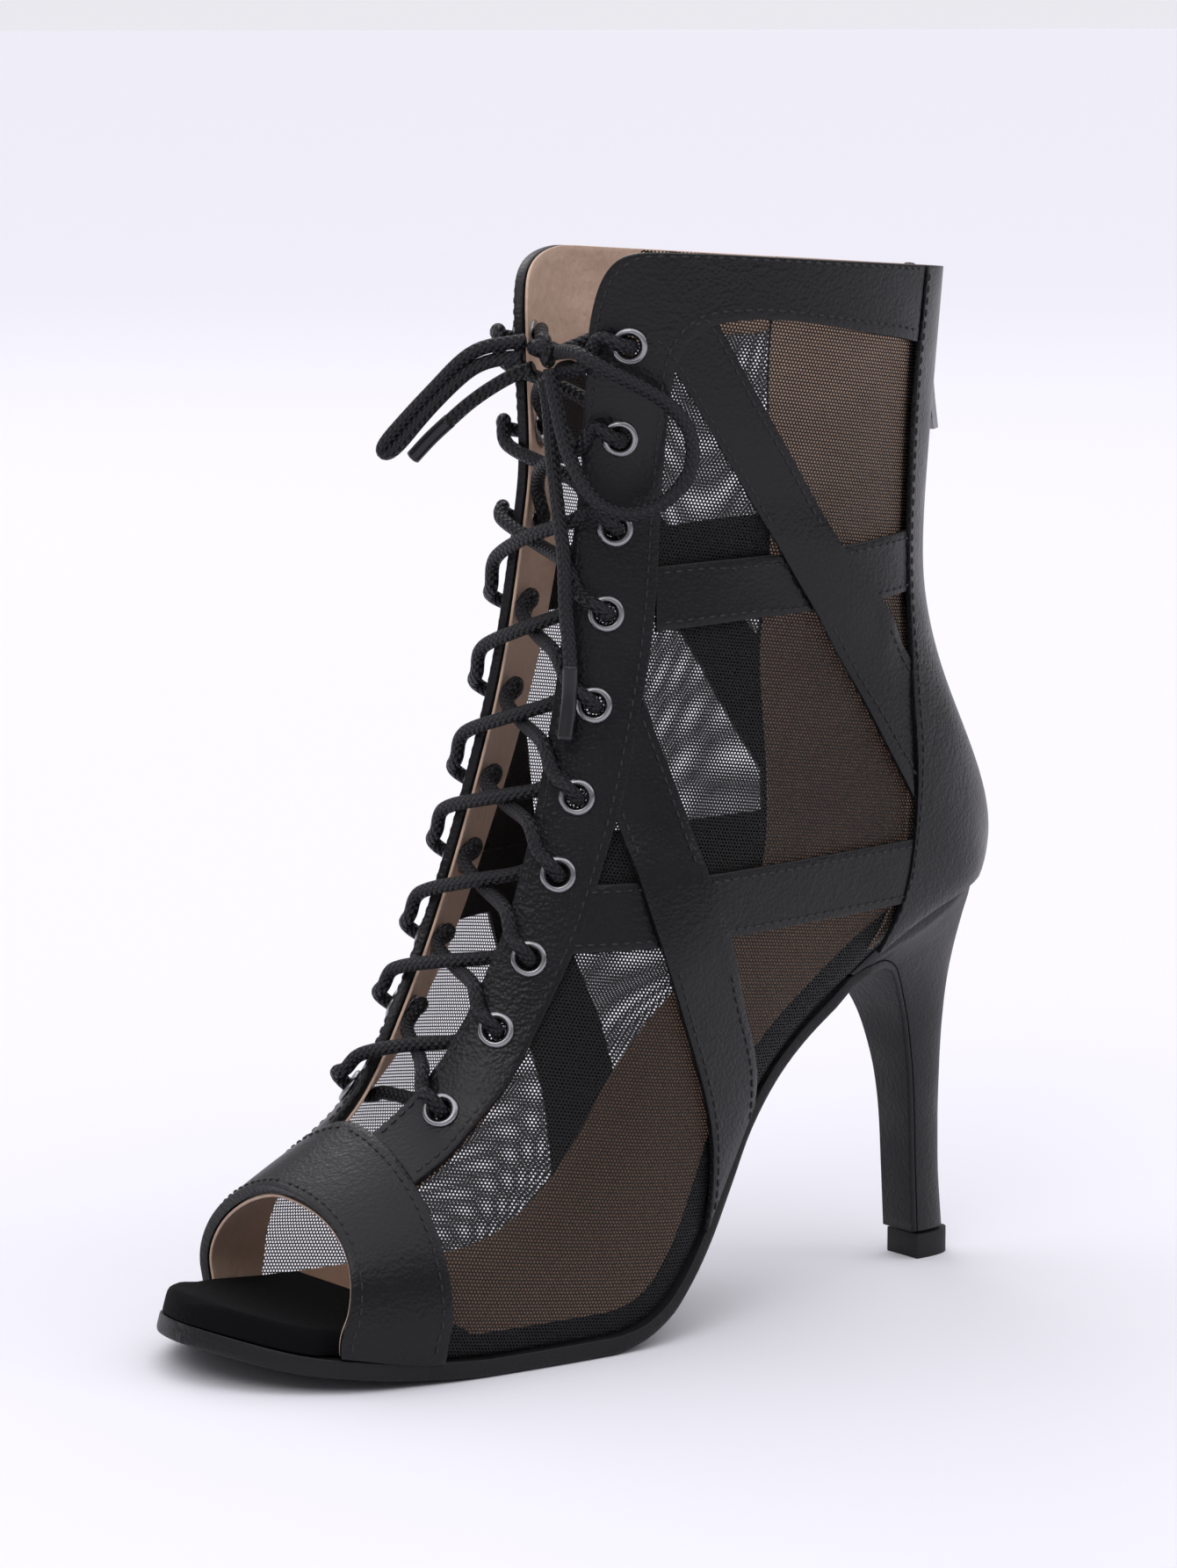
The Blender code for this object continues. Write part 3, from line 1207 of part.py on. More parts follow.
def main():
    for old in list(bpy.data.objects):
        bpy.data.objects.remove(old, do_unlink=True)
    for name in ("dance_boot", "cutters"):
        bpy.context.scene.collection.children.link(bpy.data.collections.new(name))
    net = material("black_net", (0.012, 0.012, 0.013), 0.6)
    leather = material("black_leather", (0.014, 0.014, 0.015), 0.38)
    suede = material("black_suede", (0.010, 0.010, 0.011), 0.9)
    sole = material("black_sole", (0.014, 0.014, 0.015), 0.45)
    heel = material("covered_heel", (0.022, 0.022, 0.024), 0.4)
    rubber = material("top_piece_rubber", (0.012, 0.012, 0.012), 0.6)
    nickel = material("dark_nickel", (0.18, 0.18, 0.19), 0.3, 1.0)
    tape = material("zip_tape", (0.012, 0.012, 0.013), 0.7)
    lace = material("waxed_lace", (0.012, 0.012, 0.014), 0.5)
    sleeve = material("lace_sleeve", (0.03, 0.03, 0.03), 0.3)
    upper = build_upper(net)
    build_footbed(suede)
    build_outsole(sole)
    build_heel(heel)
    build_top_piece(rubber)
    facings = [build_facing("facing_outer", OUTER, leather), build_facing("facing_inner", INNER, leather)]
    build_toe_band(leather)
    build_back_counter(leather)
    for name, table, columns, bar in STRAPS:
        for side, side_name in ((OUTER, "outer"), (INNER, "inner")):
            build_strap(f"{name}_{side_name}", table, columns, bar, side, leather)
    build_eyelets(nickel)
    build_eyelet_holes([upper] + facings)
    build_zip_tape(tape)
    build_zip_slider(nickel)
    build_zip_pull(nickel)
    build_crossings(lace)
    build_bow(lace, sleeve)


main()
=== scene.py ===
"""The left latin dance boot dressed for its picture: net, leather panels with stitches, tan lining,
lace with its bow, zip, sole and heel. Metres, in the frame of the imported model."""
import math

import bmesh
import bpy
import numpy as np
from mathutils import Matrix, Vector
from mathutils.bvhtree import BVHTree


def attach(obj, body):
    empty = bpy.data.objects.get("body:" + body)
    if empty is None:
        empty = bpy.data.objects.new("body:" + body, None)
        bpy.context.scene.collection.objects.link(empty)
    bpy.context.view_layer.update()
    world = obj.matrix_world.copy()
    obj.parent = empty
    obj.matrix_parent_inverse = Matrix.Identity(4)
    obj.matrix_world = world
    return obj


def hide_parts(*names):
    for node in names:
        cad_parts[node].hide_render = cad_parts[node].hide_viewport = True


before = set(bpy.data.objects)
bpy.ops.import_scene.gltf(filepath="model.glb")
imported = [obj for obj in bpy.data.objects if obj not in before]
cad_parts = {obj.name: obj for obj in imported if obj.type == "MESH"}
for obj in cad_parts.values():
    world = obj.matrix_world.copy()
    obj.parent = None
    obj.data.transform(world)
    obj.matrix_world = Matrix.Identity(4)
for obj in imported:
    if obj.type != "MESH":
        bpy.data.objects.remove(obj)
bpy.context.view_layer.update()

# Driving sizes
LENGTH = 0.219            # heel back to toe tip, in plan
BALL_WIDTH = 0.0756       # across the ball, feather edge to feather edge
SEAT_RISE = 0.093         # forefoot to the back of the heel seat
SHAFT_RISE = 0.147        # heel seat to collar
SEAT_OVERHANG = 0.011     # heel back behind the centre of the top piece
SOLE_THICKNESS = 0.0042   # outsole under the forefoot
SHANK_THICKNESS = 0.0030  # outsole under the arch
COVER_THICKNESS = 0.0015  # outsole where it runs down the heel's front
SOLE_EDGE = 0.0016        # outsole beyond the feather edge
FOOTBED = 0.0058          # padded footbed
NET = 0.0010              # net and its binding
LEATHER = 0.0012          # facings, straps and back panel
BAND_LEATHER = 0.0015     # toe band, folded at both edges
GAP = 0.0003              # between pieces that touch
PANEL_LIFT = 0.0004       # of a panel's sheet over the last, so that its facets clear the net
EYELET_WIDTH = 0.0083     # eyelet's flange across
EYELET_BORE = 0.0046      # hole through an eyelet
EYELET_WALL = 0.0004
EYELET_FLANGE = 0.0008    # height of the rolled flange
LACE = 0.0032             # round waxed lace, across
ZIP_SLOT = 0.0094         # opening for the zip in the back panel
TOP_PIECE_HEIGHT = 0.0062
TOP_PIECE_LENGTH = 0.0124
TOP_PIECE_WIDTH = 0.0113

COLLAR_HEIGHT = SEAT_RISE + SHAFT_RISE
FEATHER = SOLE_THICKNESS + GAP
OUTER, INNER = -1, 1
SIDES = ((OUTER, "outer"), (INNER, "inner"))
COLUMN = {OUTER: 1, INNER: 2}     # each side's column in a table that has one for both

# The sole's line. along: share of LENGTH from the heel back; rise: share of SEAT_RISE;
# outer, inner: feather edge from the middle, shares of BALL_WIDTH.
SOLE_LINE = [
    # along, rise, outer, inner
    (0.000, 1.000, 0.249, 0.249),
    (0.041, 0.956, 0.249, 0.249),
    (0.089, 0.921, 0.249, 0.249),
    (0.151, 0.873, 0.288, 0.284),
    (0.192, 0.828, 0.299, 0.291),
    (0.233, 0.769, 0.304, 0.288),
    (0.269, 0.710, 0.308, 0.278),
    (0.311, 0.643, 0.317, 0.265),
    (0.356, 0.557, 0.337, 0.258),
    (0.402, 0.430, 0.364, 0.265),
    (0.434, 0.306, 0.390, 0.282),
    (0.470, 0.183, 0.427, 0.311),
    (0.502, 0.102, 0.460, 0.347),
    (0.534, 0.043, 0.485, 0.384),
    (0.571, 0.009, 0.500, 0.423),
    (0.600, 0.000, 0.502, 0.450),
    (0.644, 0.000, 0.503, 0.483),
    (0.745, 0.000, 0.496, 0.496),
    (0.785, 0.005, 0.489, 0.487),
    (0.838, 0.016, 0.470, 0.463),
    (0.884, 0.029, 0.466, 0.460),
    (0.932, 0.044, 0.462, 0.458),
    (1.000, 0.088, 0.460, 0.457),
]
HEEL_ROUND_FROM = 0.089   # the plan rounds off to the heel back from here
TOE_ROUND_FROM = 0.820    # and to the toe tip from here

# The last's sections. Each is a slanting plane from the sole's line up to the front line.
# along: shares of LENGTH; up: shares of COLLAR_HEIGHT; girth: half width, share of BALL_WIDTH;
# bend: height of the greatest width; round: 2 is an ellipse, less is more pointed at the front.
FOOT = [
    # front_along, front_up, seat_along, outer_girth, inner_girth, bend, outer_round, inner_round
    (0.909, 0.142, 0.932, 0.370, 0.370, 0.40, 2.30, 1.70),
    (0.879, 0.160, 0.884, 0.443, 0.437, 0.30, 2.30, 1.65),
    (0.836, 0.185, 0.838, 0.489, 0.483, 0.26, 2.10, 1.65),
    (0.792, 0.210, 0.785, 0.509, 0.503, 0.24, 1.90, 1.65),
    (0.758, 0.242, 0.721, 0.516, 0.509, 0.26, 1.70, 1.60),
    (0.731, 0.288, 0.644, 0.516, 0.503, 0.28, 1.60, 1.55),
    (0.705, 0.354, 0.571, 0.509, 0.476, 0.30, 1.50, 1.50),
    (0.673, 0.433, 0.502, 0.489, 0.450, 0.33, 1.50, 1.55),
    (0.639, 0.521, 0.434, 0.463, 0.423, 0.38, 1.52, 1.60),
    (0.611, 0.604, 0.361, 0.437, 0.400, 0.42, 1.63, 1.66),
    (0.592, 0.679, 0.265, 0.414, 0.388, 0.42, 1.82, 1.79),
    (0.581, 0.742, 0.160, 0.396, 0.381, 0.42, 1.98, 1.92),
    (0.574, 0.783, 0.087, 0.386, 0.378, 0.42, 2.07, 2.01),
    (0.571, 0.808, 0.027, 0.381, 0.378, 0.42, 2.11, 2.05),
    (0.569, 0.829, 0.000, 0.379, 0.378, 0.42, 2.12, 2.07),
]
SHAFT = [
    # front_along, front_up, back_along, back_up, girth, bend, round
    (0.568, 0.850, 0.0035, 0.443, 0.380, 0.43, 2.09),
    (0.567, 0.875, 0.027, 0.497, 0.388, 0.45, 2.08),
    (0.565, 0.904, 0.072, 0.577, 0.403, 0.48, 2.05),
    (0.563, 0.938, 0.104, 0.700, 0.426, 0.50, 2.00),
    (0.563, 1.013, 0.080, 0.983, 0.450, 0.50, 2.00),
    (0.563, 1.054, 0.077, 1.025, 0.455, 0.50, 2.00),
]
LOWER_ROUND = 2.1         # roundness of a section below its greatest width
SEAT_ROW = len(FOOT) - 1  # from this section on, sections start on the back seam
COLLAR_ROW = SEAT_ROW + 5
BRIDGE_ROW = 3            # the throat opens behind this section

# Half of the throat's opening at each section from BRIDGE_ROW on, shares of BALL_WIDTH.
THROAT = [
    # section, outer, inner
    (3, 0.106, 0.106), (4, 0.130, 0.130), (5, 0.160, 0.150), (6, 0.180, 0.176), (7, 0.192, 0.192),
    (8, 0.184, 0.188), (9, 0.170, 0.180), (10, 0.158, 0.168), (11, 0.150, 0.160), (14, 0.148, 0.158),
    (16, 0.153, 0.160), (17, 0.166, 0.168), (18, 0.170, 0.172), (18.3, 0.180, 0.186),
    (18.6, 0.200, 0.222), (18.8, 0.228, 0.290), (18.92, 0.256, 0.345), (19, 0.290, 0.390),
]

# The toe opening's edge. turn: 0 at the feather, 1 on the middle line; section on each side.
TOE_EDGE = [
    # turn, outer, inner
    (0.00, 0.66, 1.50), (0.30, 0.62, 1.40), (0.55, 0.80, 1.22), (0.80, 0.97, 1.05), (1.00, 1.00, 1.00),
]

# Where the panels' edges lie in the side view. along: share of LENGTH from the heel back;
# up: share of COLLAR_HEIGHT. Both sides of the boot are alike.
FACING = [
    # edge_section, edge_turn (1: on the throat's edge), rear_along, rear_up
    (2.90, 1.000, 0.797, 0.171), (3.81, 1.000, 0.753, 0.192), (4.60, 1.000, 0.717, 0.221),
    (5.30, 1.000, 0.680, 0.254), (5.93, 1.000, 0.651, 0.294), (6.56, 1.000, 0.619, 0.342),
    (7.21, 1.000, 0.590, 0.392), (7.76, 1.000, 0.566, 0.448), (8.32, 1.000, 0.542, 0.508),
    (8.95, 1.000, 0.520, 0.575), (9.76, 1.000, 0.500, 0.646), (10.90, 1.000, 0.486, 0.721),
    (13.20, 1.000, 0.479, 0.792), (16.20, 1.000, 0.480, 0.854), (17.90, 1.000, 0.479, 0.892),
    (18.45, 1.000, 0.473, 0.914), (18.80, 1.000, 0.457, 0.933), (18.97, 0.780, 0.429, 0.943),
    (19.00, 0.660, 0.388, 0.945), (19.00, 0.540, 0.324, 0.938), (19.00, 0.424, 0.247, 0.927),
    (19.00, 0.285, 0.160, 0.916),
]
BACK_SEAM = [
    # up, along
    (0.290, 0.262), (0.313, 0.237), (0.333, 0.215), (0.379, 0.187), (0.425, 0.176), (0.479, 0.174),
    (0.529, 0.178), (0.592, 0.183), (0.746, 0.178), (0.854, 0.178), (0.988, 0.164), (1.040, 0.160),
]
BAND_REAR = [
    # turn, section
    (0.00, 2.69), (0.28, 2.69), (0.49, 2.81), (0.66, 2.81), (0.84, 2.88), (1.00, 3.00),
]
UPPER_BAR = [
    # top_along, top_up, low_along, low_up
    (0.490, 0.717, 0.495, 0.658), (0.324, 0.727, 0.324, 0.669), (0.172, 0.738, 0.172, 0.679),
]
LOWER_BAR = [
    # top_along, top_up, low_along, low_up
    (0.585, 0.429, 0.612, 0.367), (0.379, 0.435, 0.397, 0.373), (0.170, 0.442, 0.180, 0.379),
]
UPPER_DIAGONAL = [
    # rear_along, rear_up, front_along, front_up
    (0.438, 0.940, 0.479, 0.900), (0.397, 0.875, 0.434, 0.833), (0.342, 0.800, 0.379, 0.758),
    (0.292, 0.733, 0.324, 0.683), (0.228, 0.671, 0.256, 0.592), (0.196, 0.629, 0.215, 0.533),
    (0.178, 0.610, 0.178, 0.482),
]
LOWER_DIAGONAL = [
    # rear_along, rear_up, front_along, front_up
    (0.514, 0.596, 0.551, 0.488), (0.489, 0.513, 0.541, 0.446), (0.466, 0.433, 0.530, 0.396),
    (0.443, 0.375, 0.514, 0.338), (0.420, 0.313, 0.493, 0.279), (0.395, 0.246, 0.470, 0.217),
    (0.393, 0.221, 0.461, 0.171), (0.393, 0.206, 0.461, 0.133), (0.395, 0.192, 0.466, 0.096),
]
STRAPS = [
    # name, table, columns, bar that it rides over
    ("upper_bar", UPPER_BAR, 2, None), ("lower_bar", LOWER_BAR, 2, None),
    ("upper_diagonal", UPPER_DIAGONAL, 2, UPPER_BAR), ("lower_diagonal", LOWER_DIAGONAL, 2, LOWER_BAR),
]
EYELETS = [4.38, 6.06, 7.00, 7.88, 8.62, 9.56, 10.62, 12.31, 15.88, 18.12]  # sections, toe to collar
EYELET_PLACE = 0.50       # share of the facing's width from its rear edge
LOWEST_TURN = 0.07        # where panels stop short of the feather edge
BAND_LOW_TURN = 0.065
BAND_AHEAD = 0.10         # toe band ahead of the net's edge, in sections
PANEL_STEP = 0.0060       # rows of a panel's sheet
RISE_RAMP = 0.0095        # a strap that passes over another starts to climb so far from its edge
RISE_TOP = 0.0058         # and is fully up so far from it
ZIP_FOOT = 0.525          # height of the zip's lower end, share of COLLAR_HEIGHT

# The heel from the seat down. x: share of LENGTH; z: share of SEAT_RISE; half: share of BALL_WIDTH.
HEEL = [
    # front_x, front_z, back_x, back_z, half
    (-0.1826, 0.768, 0.0480, 1.030, 0.306),
    (-0.1575, 0.789, 0.0495, 1.005, 0.290),
    (-0.1301, 0.796, 0.0480, 0.965, 0.252),
    (-0.1050, 0.781, 0.0410, 0.900, 0.205),
    (-0.0868, 0.742, 0.0320, 0.818, 0.165),
    (-0.0744, 0.694, 0.0247, 0.735, 0.137),
    (-0.0630, 0.634, 0.0201, 0.652, 0.116),
    (-0.0539, 0.559, 0.0174, 0.570, 0.100),
    (-0.0466, 0.473, 0.0160, 0.480, 0.088),
    (-0.0420, 0.366, 0.0152, 0.372, 0.080),
    (-0.0393, 0.237, 0.0160, 0.240, 0.077),
    (-0.0356, 0.0720, 0.0220, 0.0720, 0.076),
]
TOE_OPEN_AT = 0.928       # ahead of here the footbed reaches the sole's edge

# Cages of the sheets
UPPER_COLUMNS = 10        # net's columns from the feather to the throat
BRIDGE_COLUMNS = 3        # and on to the middle line in front of the throat
TOE_ROWS = 5
ROW_SPACING = 0.0082
ROW_LOOK = 0.05           # step of a search over the sections
FACING_STEPS = 2          # rows of the facing's sheet for each row of its table
FACING_COLUMNS = 3
FACING_END = 0.004        # turn from the back panel's seam to the facing's end
UNDER_BAND = 0.3          # how far the facing reaches under the toe band, in sections
COLLAR_FROM = 15          # rows of the facing's table from here on are the collar band's
BAND_ROWS = 4
BAND_COLUMNS = 13
BACK_COLUMNS = 7
BACK_LIFT = 2             # the back panel's lift, in panel lifts
SEAT_LIFT = 1.6           # and how much more it has at the seat
TUCK = 0.0030             # how far a strap reaches under the panel beside it
STRAP_LIFT = 0.0003
HIDDEN_END = (0.463, 0.979, 0.506, 0.940)     # the upper diagonal's end, under the facing's corner

# Net and linings
NET_PITCH = 0.74          # millimetres between the net's threads
NET_ANGLES = (8.0, 68.0, 128.0)
NET_LIFT = -0.0003
NET_SHEAR = 0.35          # how far the net's rows lean with the distance from the middle
NET_UNDER = 0.0005        # panels reach down over the net's cut edges
INSIDE = -0.0009          # linings lie under the net
LINING = 0.0007
LINING_WIDER = 0.10       # a facing's lining is wider than the facing by this share
LINING_CORNER = 0.55      # and wider still where it turns into the collar
CORNER_AT = 17            # row of the facing's table at that corner

# Rounded edges
EDGE_ROUND = 0.0003
LINING_EDGE = 0.0002
BAND_EDGE = 0.0006
HEEL_EDGE = 0.0004

# Stitches. The last five say how far a row is from the edge: shares of the sheet's width on facings and
# straps, and of one column on the toe band and the back panel.
STITCH_LENGTH = 0.0020
STITCH_PITCH = 0.0027
STITCH_WIDTH = 0.00062
STITCH_HIGH = 0.12        # a stitch's middle above the leather, share of its width
STITCH_LIFT = 0.002       # where a row starts its search for the leather
FACING_STITCH = 1.8 / 17.0
STRAP_STITCH = 1.7 / 14.8
BAND_STITCH = 0.42
SEAM_STITCH = 0.22
SLOT_STITCH = 0.25

# Sole, footbed and heel
SOCK_AHEAD = 0.765        # the tan sock begins here, share of LENGTH
TOE_FLARE = 0.0009        # the suede's edge beyond the feather edge at the open toe
SUEDE_ROUND = 0.0024      # its rolled upper edge
FOOTBED_ROUND = 0.0006
SOLE_ROUND = 0.0016       # the outsole's lower edge
SOLE_TOP_ROUND = 0.0004
TOP_PIECE_ROUND = 0.8
TOE_STATIONS = 28         # rows round the toe
SOLE_STATIONS = 60        # rows from there to the heel's front
SEAT_STATIONS = 36        # rows of the footbed over the heel
HEEL_STEPS = 6            # rows for each row of the heel's table
ROUND_STEPS = 4
FINE_SIDES = 40
BLACK_SUEDE = (0.003, 0.003, 0.0035)

# Eyelets
EYELET_SIDES = 28
ROLL_STEPS = 8
ROLL_HIGH = 1.2           # height of the rolled flange, share of EYELET_FLANGE
EYELET_BACK = [
    # beyond the wall, depth as a share of EYELET_FLANGE
    (0.0004, 0.9), (0.0012, 0.5), (0.0013, 0.0), (0.0, 0.0),
]

# Lace
CORD_SIDES = 14
CROSSINGS_OVER = 3        # from the collar, crossings that start outside the facings
CROSSINGS_DOWN = 3        # from this crossing on, they end outside the facings
LACE_LEAVES = 0.32        # where a strand passes the throat's edge, share of the way to the other row
LACE_ARRIVES = 0.18
LACE_CLEAR = 0.0012       # more room than GAP beside the facings' edges
STRANDS_APART = 0.52      # strands that cross, from their middle, share of LACE
EYELET_PATH = [
    # lift, share of the way from the hole to the throat's edge
    (0.0050, 0.62), (0.0064, 0.24), (0.0030, -0.02), (-0.0012, -0.02), (-0.0040, 0.24), (-0.0044, 0.62),
]
SLEEVE_WALL = 0.00012
KNOT_STEPS = 32
KNOT_TURNS = [
    # name, tilt, turn, radius
    ("lace_knot_wrap", 0.35, 0.3, 0.0027), ("lace_knot_turn", 1.35, -0.5, 0.0026),
]

# The bow's route, as in the part, in metres
KNOT = (-0.1106, 0.0, 0.2197)
LOOP_FAR = [
    (-0.1138, 0.0034, 0.2217), (-0.1212, 0.0125, 0.2192), (-0.1266, 0.0212, 0.2102),
    (-0.1318, 0.0290, 0.2006), (-0.1334, 0.0310, 0.1975), (-0.1339, 0.0318, 0.1955),
    (-0.1328, 0.0308, 0.1950), (-0.1313, 0.0284, 0.1972), (-0.1266, 0.0212, 0.2067),
    (-0.1213, 0.0128, 0.2154), (-0.1172, 0.0076, 0.2176), (-0.1144, 0.0034, 0.2181),
]
END_FAR = [
    (-0.1118, 0.0032, 0.2156), (-0.1143, 0.0078, 0.2136), (-0.1170, 0.0130, 0.2104),
    (-0.1196, 0.0170, 0.2071), (-0.1216, 0.0212, 0.2034),
]
TIP_FAR = [(-0.12175, 0.0216, 0.2031), (-0.1240, 0.0258, 0.1990), (-0.1262, 0.0296, 0.1946)]
LOOP_NEAR = [
    (-0.1109, -0.0057, 0.2194), (-0.1121, -0.0108, 0.2199), (-0.1136, -0.0164, 0.2199),
    (-0.1130, -0.0205, 0.2183), (-0.1103, -0.0241, 0.2160), (-0.1046, -0.0276, 0.2126),
    (-0.0994, -0.0312, 0.2087), (-0.0966, -0.0344, 0.2034), (-0.0964, -0.0356, 0.1970),
    (-0.0977, -0.0347, 0.1924), (-0.1018, -0.0324, 0.1876), (-0.1076, -0.0294, 0.1849),
    (-0.1130, -0.0254, 0.1862), (-0.1152, -0.0200, 0.1916), (-0.1154, -0.0140, 0.1998),
    (-0.1150, -0.0096, 0.2098), (-0.1150, -0.0078, 0.2160),
]
END_NEAR = [
    (-0.1124, -0.0022, 0.2126), (-0.1136, -0.0054, 0.2062), (-0.1153, -0.0090, 0.1968),
    (-0.1167, -0.0128, 0.1868), (-0.1181, -0.0172, 0.1758), (-0.1184, -0.0184, 0.1640),
    (-0.1188, -0.0206, 0.1524),
]
TIP_NEAR = [(-0.1188, -0.0207, 0.1516), (-0.1194, -0.0210, 0.1438), (-0.1214, -0.0220, 0.1355)]

# Zip
TAPE = 0.0007
TAPE_LIFT = -0.0003
TAPE_UNDER = 0.0012       # how far the tape reaches under the leather on each side
COIL_LIFT = 0.0006
COIL_PITCH = 0.0009
COIL_SHIFT = 0.0006       # every second tooth lies on the other side of the middle
COIL_SIZE = (0.0011, 0.0017, 0.00038)

# Camera and light
CAMERA_AZIMUTH = -36.0
CAMERA_ELEVATION = 8.11
CAMERA_DISTANCE = 1.2209
CAMERA_TARGET = (-0.09884, 0.0, 0.12134)
CAMERA_FOCAL_PIXELS = 6154.5
FRAME_LONG_SIDE = 1785
LIT_POINT = (-0.1, 0.0, 0.1)
LIGHTS = [
    # name, place, size, power
    ("key", (-2.4, -1.6, 2.6), 1.3, 15.0), ("fill", (2.6, -2.2, 2.0), 1.2, 8.0),
    ("rim", (0.9, 2.6, 2.4), 1.2, 9.0),
]
SKY_STRENGTH = 1.62
SKY = [
    # height, brightness: a dim band round the room, bright above
    (0.00, 0.535), (0.03, 0.50), (0.12, 0.14), (0.45, 0.24), (0.62, 0.74), (1.00, 0.98),
]


def smooth(places, values, at):
    """Monotone cubic through the rows of values, so that a table never overshoots."""
    x = np.asarray(places, float)
    y = np.asarray(values, float)
    y = y.reshape(len(x), -1)
    width = np.diff(x)[:, None]
    slope = np.diff(y, axis=0) / width
    tangent = np.zeros_like(y)
    tangent[0], tangent[-1] = slope[0], slope[-1]
    for i in range(1, len(x) - 1):
        before, after = slope[i - 1], slope[i]
        same = before * after > 0
        w0 = 2 * width[i, 0] + width[i - 1, 0]
        w1 = width[i, 0] + 2 * width[i - 1, 0]
        safe_before = np.where(same, before, 1.0)
        safe_after = np.where(same, after, 1.0)
        tangent[i] = np.where(same, (w0 + w1) / (w0 / safe_before + w1 / safe_after), 0.0)
    i = int(np.clip(np.searchsorted(x, at, side="right") - 1, 0, len(x) - 2))
    t = float(np.clip((at - x[i]) / (x[i + 1] - x[i]), 0.0, 1.0))
    w = width[i, 0]
    return ((2 * t**3 - 3 * t**2 + 1) * y[i] + (t**3 - 2 * t**2 + t) * w * tangent[i]
            + (3 * t**2 - 2 * t**3) * y[i + 1] + (t**3 - t**2) * w * tangent[i + 1])


def x_at(along):
    """World X of a share of LENGTH measured from the heel back."""
    return SEAT_OVERHANG - along * LENGTH


def read_table(table, at, column=1):
    """A column's value at a place of a table whose first column holds the places."""
    return float(smooth([row[0] for row in table], [row[1:] for row in table], at)[column - 1])


def feather_z(along):
    """Height of the upper's lower edge."""
    return FEATHER + SEAT_RISE * read_table(SOLE_LINE, along)


def half_plan(along, side):
    """Feather edge's distance from the middle line, rounded off at heel and toe."""
    half = BALL_WIDTH * read_table(SOLE_LINE, along, COLUMN[side] + 1)
    if along < HEEL_ROUND_FROM:
        u = min(1.0, (HEEL_ROUND_FROM - along) / HEEL_ROUND_FROM)
        half *= (1 - u * u) ** 0.65
    if along > TOE_ROUND_FROM:
        u = min(1.0, (along - TOE_ROUND_FROM) / (1 - TOE_ROUND_FROM))
        half *= (1 - u**2.3) ** 0.62
    return half


def last_rows():
    """Both tables of sections as one array, with the seat's height worked out."""
    rows = []
    for front_along, front_up, seat_along, outer, inner, bend, outer_round, inner_round in FOOT:
        back_up = feather_z(seat_along) / COLLAR_HEIGHT
        rows.append((front_along, front_up, seat_along, back_up, outer, inner, bend,
                     outer_round, inner_round))
    for front_along, front_up, back_along, back_up, girth, bend, pointed in SHAFT:
        rows.append((front_along, front_up, back_along, back_up, girth, girth, bend,
                     pointed, pointed))
    return np.array(rows)


LAST = last_rows()
SECTIONS = {}


def section(s):
    """One section: front point, back point, and the numbers of both half curves."""
    key = round(s, 5)
    if key not in SECTIONS:
        row = smooth(range(len(LAST)), LAST, s)
        front = (x_at(row[0]), row[1] * COLLAR_HEIGHT)
        back = (x_at(row[2]), row[3] * COLLAR_HEIGHT)
        feet = {OUTER: 0.0, INNER: 0.0}
        if s < SEAT_ROW:
            back = (back[0], feather_z(row[2]))
            feet = {side: half_plan(row[2], side) for side in feet}
        girth = {OUTER: row[4] * BALL_WIDTH, INNER: row[5] * BALL_WIDTH}
        pointed = {OUTER: row[7], INNER: row[8]}
        SECTIONS[key] = (front, back, feet, girth, float(row[6]), pointed)
    return SECTIONS[key]


def skin_point(s, turn, side):
    """A point of the last: turn 0 is the feather edge or back seam, 1 the middle of the front."""
    front, back, feet, girth, bend, pointed = section(s)
    foot, wide, n = feet[side], max(girth[side], feet[side]), pointed[side]
    angle = math.pi * min(max(turn, 0.0), 1.0)
    if angle <= math.pi / 2:
        h = bend * (1 - max(math.cos(angle), 0.0) ** (2 / LOWER_ROUND))
        y = foot + (wide - foot) * math.sin(angle) ** (2 / LOWER_ROUND)
    else:
        rest = angle - math.pi / 2
        h = bend + (1 - bend) * math.sin(rest) ** (2 / n)
        y = wide * max(math.cos(rest), 0.0) ** (2 / n)
    return Vector((back[0] + (front[0] - back[0]) * h, side * y, back[1] + (front[1] - back[1]) * h))


def skin_normal(s, turn, side):
    """Outward direction, kept level where the upper turns in under the foot."""
    turn = max(turn, 0.05) if s < SEAT_ROW else turn
    ds, dt = 0.03, 0.012
    s0, s1 = max(s - ds, 0.0), min(s + ds, len(LAST) - 1.0)
    t0, t1 = max(turn - dt, 0.0), min(turn + dt, 1.0)
    along = skin_point(s1, turn, side) - skin_point(s0, turn, side)
    across = skin_point(s, t1, side) - skin_point(s, t0, side)
    normal = along.cross(across) if side == OUTER else across.cross(along)
    if turn >= 1.0 or (turn <= 0.0 and s >= SEAT_ROW):
        normal.y = 0.0
    if s < SEAT_ROW:
        normal.z = max(normal.z, 0.0)
    return normal.normalized()


def skin(s, turn, side, lift=0.0):
    """A point at the distance lift outside the last."""
    return skin_point(s, turn, side) + skin_normal(s, turn, side) * lift


def turn_at_height(s, h, side):
    """The turn at which a section reaches the share h of its way to the front."""
    bend, n = section(s)[4], section(s)[5][side]
    h = min(max(h, 0.0), 1.0)
    if h <= bend:
        return math.acos((1 - h / bend) ** (LOWER_ROUND / 2)) / math.pi
    return 0.5 + math.asin(((h - bend) / (1 - bend)) ** (n / 2)) / math.pi


def turn_at_gap(s, gap, side):
    """The turn at which the front half of a section is the distance gap from the middle."""
    girth, n = section(s)[3][side], section(s)[5][side]
    return 0.5 + math.acos(min(gap / girth, 1.0) ** (n / 2)) / math.pi


